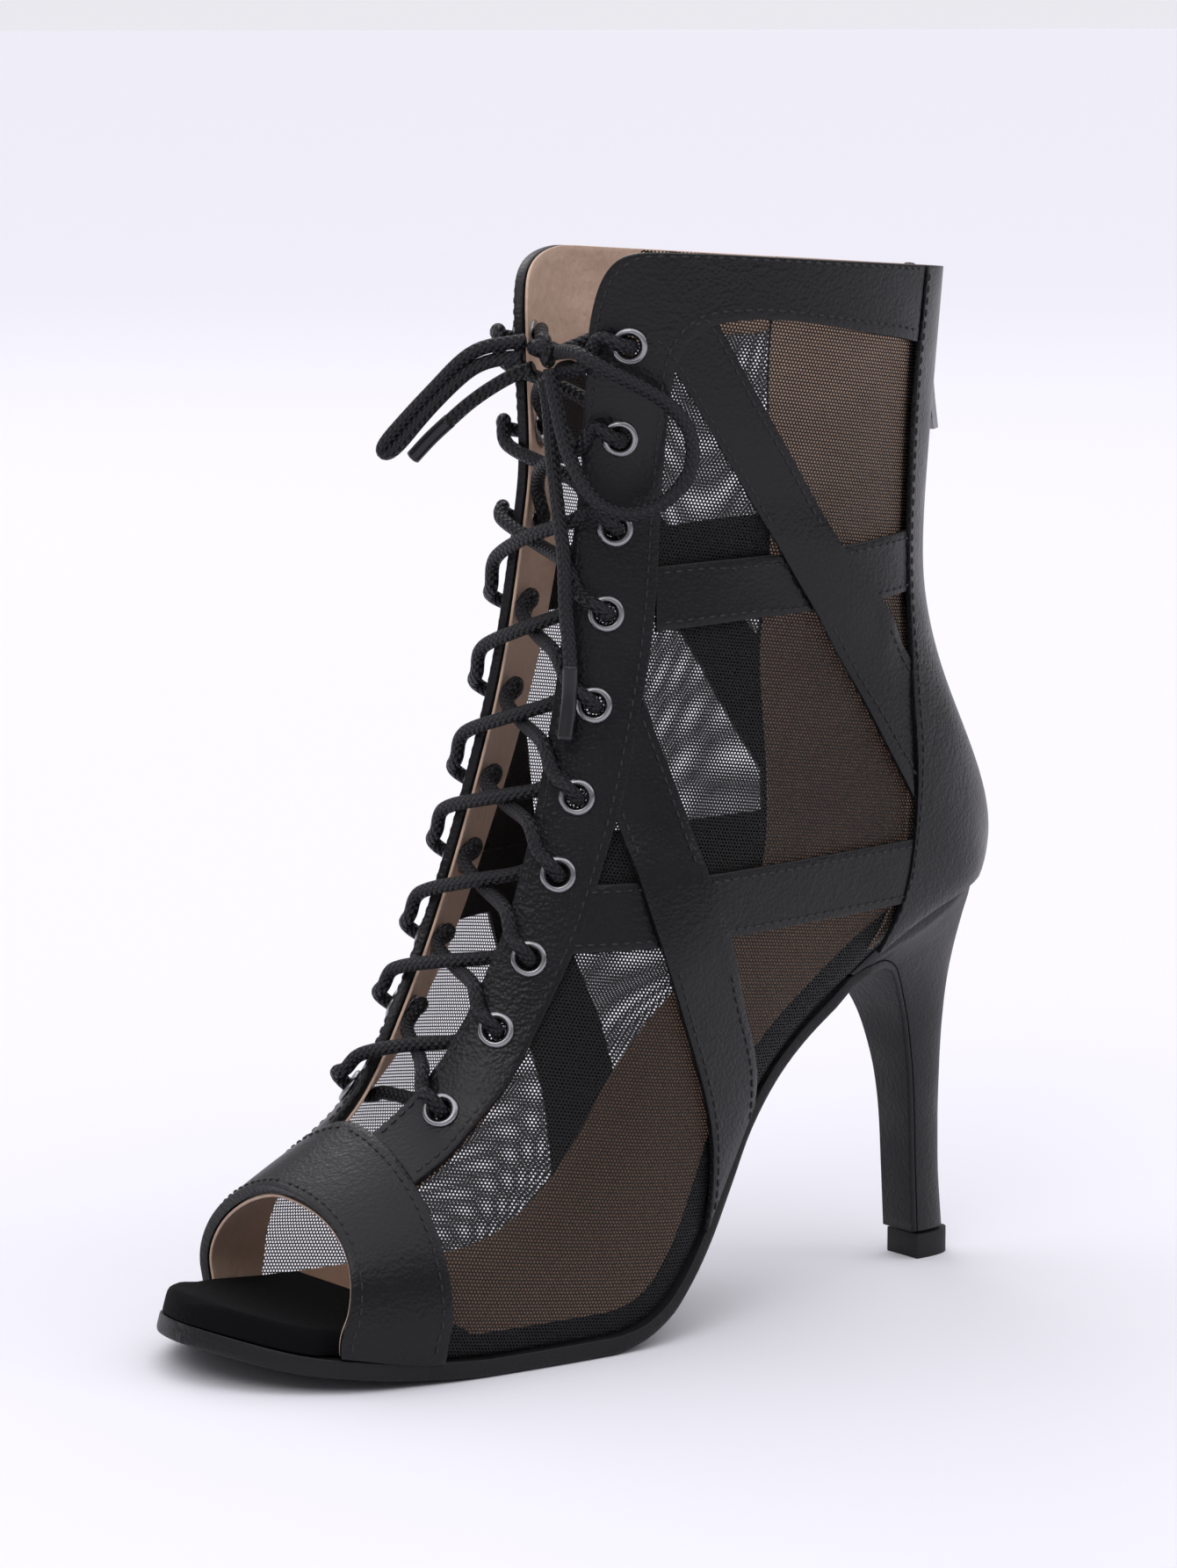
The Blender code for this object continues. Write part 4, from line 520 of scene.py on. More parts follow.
def throat_turn(s, side):
    """The throat's edge on a section."""
    return turn_at_gap(s, BALL_WIDTH * read_table(THROAT, s, COLUMN[side]), side)


def toe_section(turn, side):
    """The section at which the toe opening's edge crosses this turn."""
    return read_table(TOE_EDGE, turn, COLUMN[side])


def end_strips(first, count):
    """Faces across one end of a loft, each between matching points of its two sides."""
    faces = []
    for j in range(count // 2):
        corners = [first + j, first + j + 1, first + count - 2 - j, first + count - 1 - j]
        faces.append(list(dict.fromkeys(corners)))
    return [face for face in faces if len(face) > 2]


def spread(count, start, stop):
    """Evenly spaced values with both ends."""
    return [start + (stop - start) * i / count for i in range(count + 1)]


def row_walk(start, stop):
    """Sections from start to stop and the mean way walked to each along the front and the back."""
    steps = round((stop - start) / ROW_LOOK)
    at = spread(steps, start, stop)
    way = [0.0]
    for s0, s1 in zip(at, at[1:]):
        (front0, back0), (front1, back1) = section(s0)[:2], section(s1)[:2]
        way.append(way[-1] + (math.dist(front0, front1) + math.dist(back0, back1)) / 2)
    return at, way


def even_rows(start, stop):
    """Rows of a sheet between two sections, evenly spaced on the last."""
    at, way = row_walk(start, stop)
    count = max(2, round(way[-1] / ROW_SPACING))
    return [float(s) for s in np.interp(np.linspace(0.0, way[-1], count + 1), way, at)]


def upper_grid():
    """Places and cells of the net upper: toe rows bridge the front, the rest end at the throat."""
    places, cells = {}, []
    columns = UPPER_COLUMNS + BRIDGE_COLUMNS
    open_rows = even_rows(BRIDGE_ROW, SEAT_ROW) + even_rows(SEAT_ROW, COLLAR_ROW)[1:]

    def key(i, j, side):
        on_seam = j == 0 and i >= TOE_ROWS and open_rows[i - TOE_ROWS] >= SEAT_ROW
        return (i, j) if j == columns or on_seam else (i, j, side)

    for side in (OUTER, INNER):
        corner = throat_turn(BRIDGE_ROW, side)
        turns = spread(UPPER_COLUMNS, 0.0, corner) + spread(BRIDGE_COLUMNS, corner, 1.0)[1:]
        for i in range(TOE_ROWS):
            for j, turn in enumerate(turns):
                start = toe_section(turn, side)
                places[key(i, j, side)] = (start + (BRIDGE_ROW - start) * i / TOE_ROWS, turn, side)
        for i, s in enumerate(open_rows):
            limits = turns if i == 0 else spread(UPPER_COLUMNS, 0.0, throat_turn(s, side))
            for j, turn in enumerate(limits):
                places[key(i + TOE_ROWS, j, side)] = (s, turn, side)
        cells += grid_cells(range(TOE_ROWS), columns, side, key)
        cells += grid_cells(range(TOE_ROWS, TOE_ROWS + len(open_rows) - 1), UPPER_COLUMNS, side, key)
    return places, cells


def sole_frame(along):
    """A point on the sole's line and the upward direction across it."""
    step = 0.002
    behind, ahead = max(along - step, 0.0), min(along + step, 1.0)
    slope = Vector((x_at(behind) - x_at(ahead), 0.0, feather_z(behind) - feather_z(ahead)))
    return Vector((x_at(along), 0.0, feather_z(along))), Vector((-slope.z, 0.0, slope.x)).normalized()


def side_view(s, h):
    """A section's point at the share h of its way to the front, as shares along and up."""
    front, back = section(s)[:2]
    x = back[0] + (front[0] - back[0]) * h
    z = back[1] + (front[1] - back[1]) * h
    return (SEAT_OVERHANG - x) / LENGTH, z / COLLAR_HEIGHT


def beside(s, x, z):
    """On which side of a section's line a point of the side view lies."""
    front, back = section(s)[:2]
    return (front[0] - back[0]) * (z - back[1]) - (front[1] - back[1]) * (x - back[0])


def crossing(measure, low, high):
    """The place between low and high where a measure changes its sign."""
    negative = measure(low) < 0
    for _ in range(30):
        middle = (low + high) / 2
        if (measure(middle) < 0) == negative:
            low = middle
        else:
            high = middle
    return (low + high) / 2


def place_at(along, up, side):
    """Section and turn of a point of the side view."""
    x, z = x_at(along), up * COLLAR_HEIGHT
    steps = spread(round((len(LAST) - 1) / ROW_LOOK), 0.0, len(LAST) - 1.0)
    found = next((pair for pair in zip(steps, steps[1:])
                  if (beside(pair[0], x, z) < 0) != (beside(pair[1], x, z) < 0)),
                 (COLLAR_ROW, COLLAR_ROW + 0.1))
    s = crossing(lambda place: beside(place, x, z), *found)
    front, back = section(s)[:2]
    run, rise = front[0] - back[0], front[1] - back[1]
    h = ((x - back[0]) * run + (z - back[1]) * rise) / (run * run + rise * rise)
    return s, turn_at_height(s, h, side)


def seam_along(up):
    """The back panel's front seam."""
    return read_table(BACK_SEAM, up)


def turn_at_edge(edge, s, side):
    """The turn at which a section meets an edge of the side view, given by its along at each height."""
    def ahead(h):
        along, up = side_view(s, h)
        return along - edge(up)
    return turn_at_height(s, crossing(ahead, 0.0, 1.0), side)


def seam_turn(s, side):
    """The turn at which a section meets the back panel's front seam."""
    return turn_at_edge(seam_along, s, side)


def facing_rear(up):
    """The facing's rear edge, below the collar band."""
    return read_table([(row[3], row[2]) for row in FACING if row[1] == 1.0], up)


def band_rear(turn):
    """The section at which the toe band ends."""
    return read_table(BAND_REAR, turn)


def table_row(table, at):
    """A table's row at a place between its rows, all of its columns smoothed."""
    return [float(value) for value in smooth(range(len(table)), table, at)]


def plain_key(i, j, side):
    """The key of a place on a sheet that lies on one side of the boot."""
    return i, j


def grid_cells(rows, columns, side, key):
    """Cells between neighbouring keys of a grid. A corner that two keys share is named once."""
    cells = []
    for i in rows:
        for j in range(columns):
            corners = [key(i, j, side), key(i + 1, j, side), key(i + 1, j + 1, side),
                       key(i, j + 1, side)]
            corners = list(dict.fromkeys(corners))
            cells.append(corners if side == OUTER else corners[::-1])
    return cells


def facing_place(at, share, side):
    """A place on the facing: at a row of its table, share 0 on the outer edge, 1 on the rear edge."""
    edge_s, edge_turn, along, up = table_row(FACING, at)
    edge_turn = min(edge_turn, throat_turn(edge_s, side))
    along = max(along, seam_along(up) + 2 * GAP / LENGTH)
    s, turn = place_at(along, up, side)
    if at == len(FACING) - 1:
        edge_turn = seam_turn(edge_s, side) + FACING_END
    s, turn = edge_s + (s - edge_s) * share, edge_turn + (turn - edge_turn) * share
    return max(s, band_rear(turn) - UNDER_BAND), turn


def section_at_back(up):
    """The section that starts at this height of the back seam."""
    return crossing(lambda s: section(s)[1][1] - up * COLLAR_HEIGHT, SEAT_ROW, COLLAR_ROW + 0.5)


def slot_turn(s, half_width):
    """The turn at which the back half of a section is the distance half_width from the middle."""
    return crossing(lambda turn: skin_point(s, turn, INNER).y - half_width, 0.0, 0.4)


def ride_over(along, up, bar):
    """How far a strap is lifted where it passes over a bar."""
    if bar is None:
        return 0.0
    rows = sorted(((row[0] + row[2]) / 2, (row[1] + row[3]) / 2, (row[1] - row[3]) / 2) for row in bar)
    middle, half = smooth([row[0] for row in rows], [row[1:] for row in rows], along)
    beyond = (abs(up - middle) - half) * COLLAR_HEIGHT
    share = min(max((RISE_RAMP - beyond) / (RISE_RAMP - RISE_TOP), 0.0), 1.0)
    return (LEATHER + 1.5 * PANEL_LIFT) * share * share * (3 - 2 * share)


def collar_low(along):
    """The collar band's lower edge."""
    return read_table(sorted((row[2], row[3]) for row in FACING[COLLAR_FROM:]), along)


def eyelet_turn(s, side):
    """Eyelets sit midway across the facing."""
    rear = turn_at_edge(facing_rear, s, side)
    return rear + (throat_turn(s, side) - rear) * EYELET_PLACE


def eyelet_matrix(s, side):
    """Frame of an eyelet: on the last, with Z outward."""
    turn = eyelet_turn(s, side)
    outward = skin_normal(s, turn, side)
    matrix = outward.to_track_quat("Z", "Y").to_matrix().to_4x4()
    matrix.translation = skin_point(s, turn, side)
    return matrix


def lace_edge(s, side, outside):
    """Where the lace passes the throat's edge, outside or inside the facing."""
    lift = PANEL_LIFT + LEATHER + LACE / 2 + LACE_CLEAR if outside else -NET - 2 * GAP - LACE / 2
    return skin(s, throat_turn(s, side), side, lift)


def link(name, mesh, look, nodes=()):
    """A piece of the visual model: it rides on the boot and may stand for CAD nodes."""
    material, slot = LOOKS[look]
    mesh.materials.clear()
    mesh.materials.append(material)
    thing = bpy.data.objects.new(name, mesh)
    bpy.context.scene.collection.objects.link(thing)
    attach(thing, "boot")
    if nodes:
        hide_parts(*nodes)
    return thing


def bake(thing):
    """Apply an object's modifiers."""
    bpy.context.view_layer.update()
    mesh = bpy.data.meshes.new_from_object(thing.evaluated_get(bpy.context.evaluated_depsgraph_get()))
    old = thing.data
    thing.modifiers.clear()
    thing.data = mesh
    if old.users == 0:
        bpy.data.meshes.remove(old)
    return thing


def surface(thing):
    """A search tree of an object's mesh, for what is set on it."""
    bm = bmesh.new()
    bm.from_mesh(thing.data)
    tree = BVHTree.FromBMesh(bm)
    bm.free()
    return tree


def add_subdivision(thing):
    """Round a coarse cage, keeping its corners."""
    soft = thing.modifiers.new("rounding", "SUBSURF")
    soft.levels = soft.render_levels = 2
    soft.boundary_smooth = "PRESERVE_CORNERS"


def add_bevel(thing, width, segments=2, angle=0.7):
    """Round an object's sharp edges."""
    edge = thing.modifiers.new("edges", "BEVEL")
    edge.width = width
    edge.segments = segments
    edge.limit_method = "ANGLE"
    edge.angle_limit = angle


def cage(name, places, cells, lifts, look, nodes):
    """A coarse sheet on the last, each key lifted by its own amount, to be subdivided."""
    keys = list(places)
    number = {key: i for i, key in enumerate(keys)}
    points = [tuple(skin(*places[key], lifts[key])) for key in keys]
    mesh = bpy.data.meshes.new(name)
    mesh.from_pydata(points, [], [[number[key] for key in cell] for cell in cells])
    return link(name, mesh, look, nodes)


def fine_sheet(name, places, cells, lifts, thickness, look, nodes=(), edge=EDGE_ROUND):
    """A sheet on the last: a cage, subdivided, thickened (inward if negative), its edges rounded."""
    thing = cage(name, places, cells, lifts, look, nodes)
    add_subdivision(thing)
    shell = thing.modifiers.new("thickness", "SOLIDIFY")
    shell.thickness = abs(thickness)
    shell.offset = 1.0 if thickness > 0 else -1.0
    if edge:
        add_bevel(thing, edge)
    bake(thing)
    thing.data.shade_smooth()
    return thing


def lining_sheet(name, places, cells):
    """A tan lining under the net."""
    lifts = dict.fromkeys(places, INSIDE)
    return fine_sheet(name, places, cells, lifts, -LINING, "lining", (), LINING_EDGE)


def rail(places, lift, keys, share):
    """A line across a sheet: between neighbouring keys at a share of the way, on the last."""
    points = []
    for first, second in keys:
        s0, turn0, side = places[first]
        s1, turn1 = places[second][:2]
        points.append(skin(s0 + (s1 - s0) * share, turn0 + (turn1 - turn0) * share, side, lift))
    return points


def evenly(points, step):
    """Points along a polyline at an even step, each with the direction ahead."""
    points = [Vector(p) for p in points]
    way = [0.0]
    for p, q in zip(points, points[1:]):
        way.append(way[-1] + (q - p).length)
    count = max(2, round(way[-1] / step))
    at = np.linspace(0.0, way[-1], count + 1)
    columns = [np.interp(at, way, [p[axis] for p in points]) for axis in range(3)]
    found = [Vector(row) for row in zip(*columns)]
    spots = []
    for i, p in enumerate(found):
        ahead = found[min(i + 1, len(found) - 1)] - found[max(i - 1, 0)]
        spots.append((p, ahead.normalized()))
    return spots


def add_stitches(bm, points, tree):
    """A row of thread stitches, pressed a little into the surface that carries them."""
    for spot, ahead in evenly(points, STITCH_PITCH)[1:-1]:
        near, normal = tree.find_nearest(spot)[:2]
        across = normal.cross(ahead).normalized()
        matrix = Matrix((ahead, across, ahead.cross(across))).transposed().to_4x4()
        matrix.translation = near + normal * STITCH_WIDTH * STITCH_HIGH
        matrix = matrix @ Matrix.Diagonal((STITCH_LENGTH / 2, STITCH_WIDTH / 2, STITCH_WIDTH / 2, 1.0))
        bmesh.ops.create_uvsphere(bm, u_segments=6, v_segments=5, radius=1.0, matrix=matrix)


def finish_bm(name, bm, look, nodes=()):
    """A piece from a bmesh."""
    mesh = bpy.data.meshes.new(name)
    bm.to_mesh(mesh)
    bm.free()
    mesh.shade_smooth()
    return link(name, mesh, look, nodes)


# Materials
def new_material(name, colour, roughness, metallic=0.0, coat=0.0, sheen=0.0):
    """A Principled material, with its node tree and shader."""
    made = bpy.data.materials.new(name)
    made.use_nodes = True
    shader = made.node_tree.nodes["Principled BSDF"]
    shader.inputs["Base Color"].default_value = (*colour, 1.0)
    shader.inputs["Roughness"].default_value = roughness
    shader.inputs["Metallic"].default_value = metallic
    shader.inputs["Coat Weight"].default_value = coat
    shader.inputs["Coat Roughness"].default_value = 0.25
    shader.inputs["Specular IOR Level"].default_value = 0.28
    shader.inputs["Sheen Weight"].default_value = sheen
    return made


def put(made, value, socket):
    """Feed a socket with a value or with another socket."""
    if isinstance(value, bpy.types.NodeSocket):
        made.node_tree.links.new(value, socket)
    else:
        socket.default_value = value


def node(made, kind, **settings):
    """A node with its settings: inputs by name, with spaces as underscores, or properties."""
    new = made.node_tree.nodes.new(kind)
    for key, value in settings.items():
        name = key.replace("_", " ")
        if name in new.inputs:
            put(made, value, new.inputs[name])
        else:
            setattr(new, key, value)
    return new


def shader_of(made):
    """The material's Principled shader."""
    return made.node_tree.nodes["Principled BSDF"]


def calculate(made, operation, *values):
    """The result of a sum on numbers and sockets."""
    new = node(made, "ShaderNodeMath", operation=operation)
    for value, socket in zip(values, new.inputs):
        put(made, value, socket)
    return new.outputs["Value"]


def split(made, vector):
    """The three parts of a vector socket."""
    return node(made, "ShaderNodeSeparateXYZ", Vector=vector).outputs


def blend(made, share, low, high):
    """A colour between two others."""
    mix = node(made, "ShaderNodeMix", data_type="RGBA")
    for socket, value in zip((0, 6, 7), (share, (*low, 1.0), (*high, 1.0))):
        put(made, value, mix.inputs[socket])
    return mix.outputs[2]


def object_noise(made, scale, detail, stretch=None):
    """Noise in the piece's own coordinates, from 0 to 1."""
    start = node(made, "ShaderNodeTexCoord").outputs["Object"]
    if stretch is not None:
        start = node(made, "ShaderNodeMapping", Vector=start, Scale=stretch).outputs["Vector"]
    return node(made, "ShaderNodeTexNoise", Vector=start, Scale=scale, Detail=detail).outputs["Fac"]


def vary(made, source, low, high):
    """Let a noise vary the roughness between two numbers."""
    mapped = node(made, "ShaderNodeMapRange", Value=source, From_Min=0.3, From_Max=0.7,
                  To_Min=low, To_Max=high)
    put(made, mapped.outputs["Result"], shader_of(made).inputs["Roughness"])


def add_bump(made, heights, distance):
    """Bumps from one or more height outputs, one after another."""
    normal = None
    for source, share in heights:
        bump = node(made, "ShaderNodeBump", Strength=1.0, Distance=distance * share, Height=source)
        if normal is not None:
            put(made, normal, bump.inputs["Normal"])
        normal = bump.outputs["Normal"]
    put(made, normal, shader_of(made).inputs["Normal"])


def leather_material(name, colour, roughness):
    """Smooth black leather: fine cells, faint creases, satin finish that varies a little."""
    made = new_material(name, colour, roughness, coat=0.04)
    place = node(made, "ShaderNodeTexCoord").outputs["Object"]
    cells = node(made, "ShaderNodeTexVoronoi", Scale=1100.0, Vector=place).outputs["Distance"]
    soft, broad = object_noise(made, 420.0, 5.0), object_noise(made, 40.0, 3.0)
    add_bump(made, [(cells, 1.0), (soft, 1.4), (broad, 2.0)], 0.00010)
    vary(made, broad, roughness - 0.08, roughness + 0.10)
    return made


def lining_material():
    """Tan pigskin lining with fine creases and a little soiling."""
    made = new_material("tan_lining", (0.50, 0.32, 0.22), 0.62, sheen=0.05)
    creases = object_noise(made, 330.0, 6.0, (1.0, 1.0, 0.45))
    broad = object_noise(made, 45.0, 5.0)
    add_bump(made, [(creases, 1.0), (broad, 6.0)], 0.0005)
    soiled = blend(made, broad, (0.47, 0.325, 0.24), (0.68, 0.50, 0.39))
    put(made, soiled, shader_of(made).inputs["Base Color"])
    return made


def net_material():
    """Open net: rows of small holes set like bricks, in the sheet's own lengths."""
    made = new_material("black_net", (0.0045, 0.0045, 0.005), 0.6)
    place = node(made, "ShaderNodeUVMap").outputs["UV"]
    waves = []
    for turn in NET_ANGLES:
        turned = node(made, "ShaderNodeMapping", Vector=place, Rotation=(0.0, 0.0, math.radians(turn)))
        way = split(made, turned.outputs["Vector"])["Y"]
        angle = calculate(made, "MULTIPLY", way, 2 * math.pi / NET_PITCH)
        waves.append(calculate(made, "COSINE", angle))
    total = calculate(made, "ADD", calculate(made, "ADD", waves[0], waves[1]), waves[2])
    cover = node(made, "ShaderNodeMapRange", Value=total, From_Min=-0.2, From_Max=1.1,
                 To_Min=0.97, To_Max=0.06)
    put(made, cover.outputs["Result"], shader_of(made).inputs["Alpha"])
    return made


def footbed_material():
    """Black suede, with the tan sock on top behind the toe band."""
    made = new_material("footbed", BLACK_SUEDE, 0.95)
    shader_of(made).inputs["Specular IOR Level"].default_value = 0.12
    place = node(made, "ShaderNodeNewGeometry").outputs
    behind = calculate(made, "GREATER_THAN", split(made, place["Position"])["X"], x_at(SOCK_AHEAD))
    on_top = calculate(made, "GREATER_THAN", split(made, place["Normal"])["Z"], 0.45)
    colour = blend(made, calculate(made, "MULTIPLY", behind, on_top), BLACK_SUEDE, (0.40, 0.25, 0.17))
    put(made, colour, shader_of(made).inputs["Base Color"])
    add_bump(made, [(object_noise(made, 900.0, 4.0), 1.0)], 0.00022)
    return made


def lace_material():
    """Round braided cord: crossing diagonal strands in the cord's own lengths, with a painted highlight
    on the raised strands and painted shade in the grooves between them.
    """
    made = new_material("waxed_lace", (0.010, 0.010, 0.012), 0.42)
    place = split(made, node(made, "ShaderNodeUVMap").outputs["UV"])
    heights = []
    for lean in (6.0, -6.0):
        around = calculate(made, "MULTIPLY", place["X"], lean)
        along = calculate(made, "MULTIPLY_ADD", place["Y"], 0.55, around)
        heights.append(calculate(made, "PINGPONG", along, 0.5))
    woven = calculate(made, "MULTIPLY", *heights)
    add_bump(made, [(woven, 1.0)], 0.0022)
    # Colour follows the weave's height: the raised strands get a painted highlight, the grooves painted
    # shade.
    lit = node(made, "ShaderNodeMapRange", Value=woven, From_Max=0.2).outputs["Result"]
    colour = blend(made, lit, (0.003, 0.003, 0.004), (0.024, 0.024, 0.029))
    put(made, colour, shader_of(made).inputs["Base Color"])
    return made


def nap_material(name, colour, roughness, scale, depth):
    """A matte material with a fine random nap."""
    made = new_material(name, colour, roughness)
    add_bump(made, [(object_noise(made, scale, 4.0), 1.0)], depth)
    return made


def metal_material():
    """Dark nickel with fine wear."""
    made = new_material("dark_nickel", (0.30, 0.30, 0.31), 0.26, 1.0)
    vary(made, object_noise(made, 420.0, 4.0), 0.18, 0.36)
    return made


# Each look is a material and its slot
LOOKS = {
    "leather": (leather_material("black_leather", (0.0040, 0.0040, 0.0048), 0.33), "leather"),
    "band_leather": (leather_material("band_leather", (0.0040, 0.0040, 0.0052), 0.34), "leather"),
    "heel_cover": (leather_material("heel_cover", (0.011, 0.011, 0.0125), 0.46), "heel_cover"),
    "sole": (leather_material("sole_edge", (0.006, 0.006, 0.007), 0.52), "sole"),
    "lining": (lining_material(), "leather"),
    "net": (net_material(), "net"),
    "thread": (nap_material("black_thread", (0.020, 0.020, 0.022), 0.38, 2500.0, 0.00005), "leather"),
    "rubber": (nap_material("top_piece_rubber", (0.012, 0.012, 0.012), 0.6, 700.0, 0.00008), "top_piece"),
    "tape": (nap_material("zip_tape_weave", (0.014, 0.014, 0.015), 0.75, 1800.0, 0.00012), "tape"),
    "suede": (footbed_material(), "suede"),
    "lace": (lace_material(), "waxed_lace"),
    "nickel": (metal_material(), "dark_nickel"),
    "sleeve": (new_material("lace_sleeve", (0.02, 0.02, 0.022), 0.22), "lace_sleeve"),
    "coil": (new_material("zip_coil", (0.016, 0.016, 0.018), 0.35), "tape"),
}


# Net upper
def build_net():
    """The net, one thin sheet, with its lengths in millimetres as texture coordinates."""
    places, cells = upper_grid()
    thing = cage("net_upper", places, cells, dict.fromkeys(places, NET_LIFT), "net", ["upper"])
    mesh = thing.data
    layer = mesh.uv_layers.new(name="UVMap")
    for face in mesh.polygons:
        for loop in face.loop_indices:
            p = mesh.vertices[mesh.loops[loop].vertex_index].co
            layer.data[loop].uv = ((p.x + NET_SHEAR * abs(p.y)) * 1000.0, p.z * 1000.0)
    add_subdivision(thing)
    bake(thing)
    thing.data.shade_smooth()


def eyelet_cutter():
    """One mesh of cylinders through every eyelet."""
    bm = bmesh.new()
    radius = EYELET_BORE / 2 + EYELET_WALL + 0.5 * GAP
    for side in (OUTER, INNER):
        for s in EYELETS:
            bmesh.ops.create_cone(bm, cap_ends=True, segments=20, radius1=radius, radius2=radius,
                                  depth=0.010, matrix=eyelet_matrix(s, side))
    mesh = bpy.data.meshes.new("eyelet_cutter")
    bm.to_mesh(mesh)
    bm.free()
    thing = bpy.data.objects.new("eyelet_cutter", mesh)
    bpy.context.scene.collection.objects.link(thing)
    return thing


def punch(thing, tool):
    """Cut the eyelets' holes out of a panel."""
    change = thing.modifiers.new("holes", "BOOLEAN")
    change.object = tool
    change.operation = "DIFFERENCE"
    change.solver = "EXACT"
    bake(thing)


def build_facings(cutter_tool):
    """Eyelet facings with the collar band, their lining and two rows of stitches."""
    rows = (len(FACING) - 1) * FACING_STEPS
    for side, side_name in SIDES:
        places = {}
        for i in range(rows + 1):
            for j in range(FACING_COLUMNS + 1):
                places[i, j] = (*facing_place(i / FACING_STEPS, j / FACING_COLUMNS, side), side)
        cells = grid_cells(range(rows), FACING_COLUMNS, -side, plain_key)
        name = f"facing_{side_name}"
        outside = fine_sheet(f"{name}_leather", places, cells, dict.fromkeys(places, -NET_UNDER),
                             PANEL_LIFT + LEATHER + NET_UNDER, "leather", [name])
        tree = surface(outside)
        bm = bmesh.new()
        for first, second in ((0, 1), (FACING_COLUMNS, FACING_COLUMNS - 1)):
            keys = [((i, first), (i, second)) for i in range(rows + 1)]
            line = rail(places, PANEL_LIFT + LEATHER, keys, FACING_COLUMNS * FACING_STITCH)
            add_stitches(bm, line, tree)
        finish_bm(f"{name}_stitches", bm, "thread")
        punch(outside, cutter_tool)
        for i in range(rows + 1):
            at = i / FACING_STEPS
            wider = 1 + LINING_WIDER + LINING_CORNER * max(0.0, 1 - abs(at - CORNER_AT) / 3)
            wider = 1.0 if i == rows or side == OUTER else wider
            for j in range(1, FACING_COLUMNS + 1):
                places[i, j] = (*facing_place(at, j / FACING_COLUMNS * wider, side), side)
        punch(lining_sheet(f"{name}_lining", places, cells), cutter_tool)


def build_toe_band_leather():
    """The toe band, lined, with stitches along both edges."""
    places, cells = {}, []

    def key(i, j, side):
        return (i, j) if j == BAND_COLUMNS else (i, j, side)

    for side in (OUTER, INNER):
        for j, turn in enumerate(spread(BAND_COLUMNS, BAND_LOW_TURN, 1.0)):
            front = toe_section(turn, side) - BAND_AHEAD
            for i in range(BAND_ROWS + 1):
                places[key(i, j, side)] = (front + (band_rear(turn) - front) * i / BAND_ROWS, turn, side)
        cells += grid_cells(range(BAND_ROWS), BAND_COLUMNS, side, key)
    outside = fine_sheet("toe_band_leather", places, cells, dict.fromkeys(places, -NET_UNDER),
                         PANEL_LIFT + BAND_LEATHER + NET_UNDER, "band_leather", ["toe_band"], BAND_EDGE)
    lining_sheet("toe_band_lining", places, cells)
    tree = surface(outside)
    bm = bmesh.new()
    for side in (OUTER, INNER):
        for first, second in ((0, 1), (BAND_ROWS, BAND_ROWS - 1)):
            keys = [(key(first, j, side), key(second, j, side)) for j in range(BAND_COLUMNS + 1)]
            add_stitches(bm, rail(places, PANEL_LIFT + BAND_LEATHER, keys, BAND_STITCH), tree)
    finish_bm("toe_band_stitches", bm, "thread")


def back_grid(slotted):
    """The back panel's cage, open along the zip where it is slotted."""
    start = crossing(lambda s: section(s)[1][0] - x_at(seam_along(section(s)[1][1] / COLLAR_HEIGHT)),
                     SEAT_ROW - 5, SEAT_ROW) + 0.2
    foot = section_at_back(ZIP_FOOT)
    rows = even_rows(start, SEAT_ROW) + even_rows(SEAT_ROW, foot)[1:] + even_rows(foot, COLLAR_ROW)[1:]
    seat = rows.index(SEAT_ROW)
    slot = rows.index(foot) if slotted else len(rows)
    places, lifts, cells = {}, {}, []

    def key(i, j, side):
        return (i, j) if j == 0 and seat <= i <= slot else (i, j, side)

    for side in (OUTER, INNER):
        for i, s in enumerate(rows):
            low = 0.0
            if i < seat:
                low = LOWEST_TURN * min(1.0, (SEAT_ROW - s) / 0.6)
            if i > slot:
                low = slot_turn(s, ZIP_SLOT / 2)
            more = SEAT_LIFT * max(0.0, 1 - abs(s - SEAT_ROW) / 2)
            for j, turn in enumerate(spread(BACK_COLUMNS, low, seam_turn(s, side))):
                places[key(i, j, side)] = (s, turn, side)
                lifts[key(i, j, side)] = PANEL_LIFT * (BACK_LIFT + more)
        cells += grid_cells(range(len(rows) - 1), BACK_COLUMNS, side, key)
    return places, lifts, cells, key, len(rows), slot


def build_back_panel():
    """The back panel round the heel, slotted for the zip, lined and stitched."""
    places, lifts, cells, key, count, slot = back_grid(True)
    outside = fine_sheet("back_counter_leather", places, cells, lifts, LEATHER, "leather",
                         ["back_counter"])
    tree = surface(outside)
    bm = bmesh.new()
    for side in (OUTER, INNER):
        for first, second, start, share in ((BACK_COLUMNS, BACK_COLUMNS - 1, 0, SEAM_STITCH),
                                            (0, 1, slot + 1, SLOT_STITCH)):
            keys = [(key(i, first, side), key(i, second, side)) for i in range(start, count)]
            add_stitches(bm, rail(places, STITCH_LIFT, keys, share), tree)
    finish_bm("back_counter_stitches", bm, "thread")
    places, lifts, cells = back_grid(False)[:3]
    lining_sheet("back_lining", places, cells)


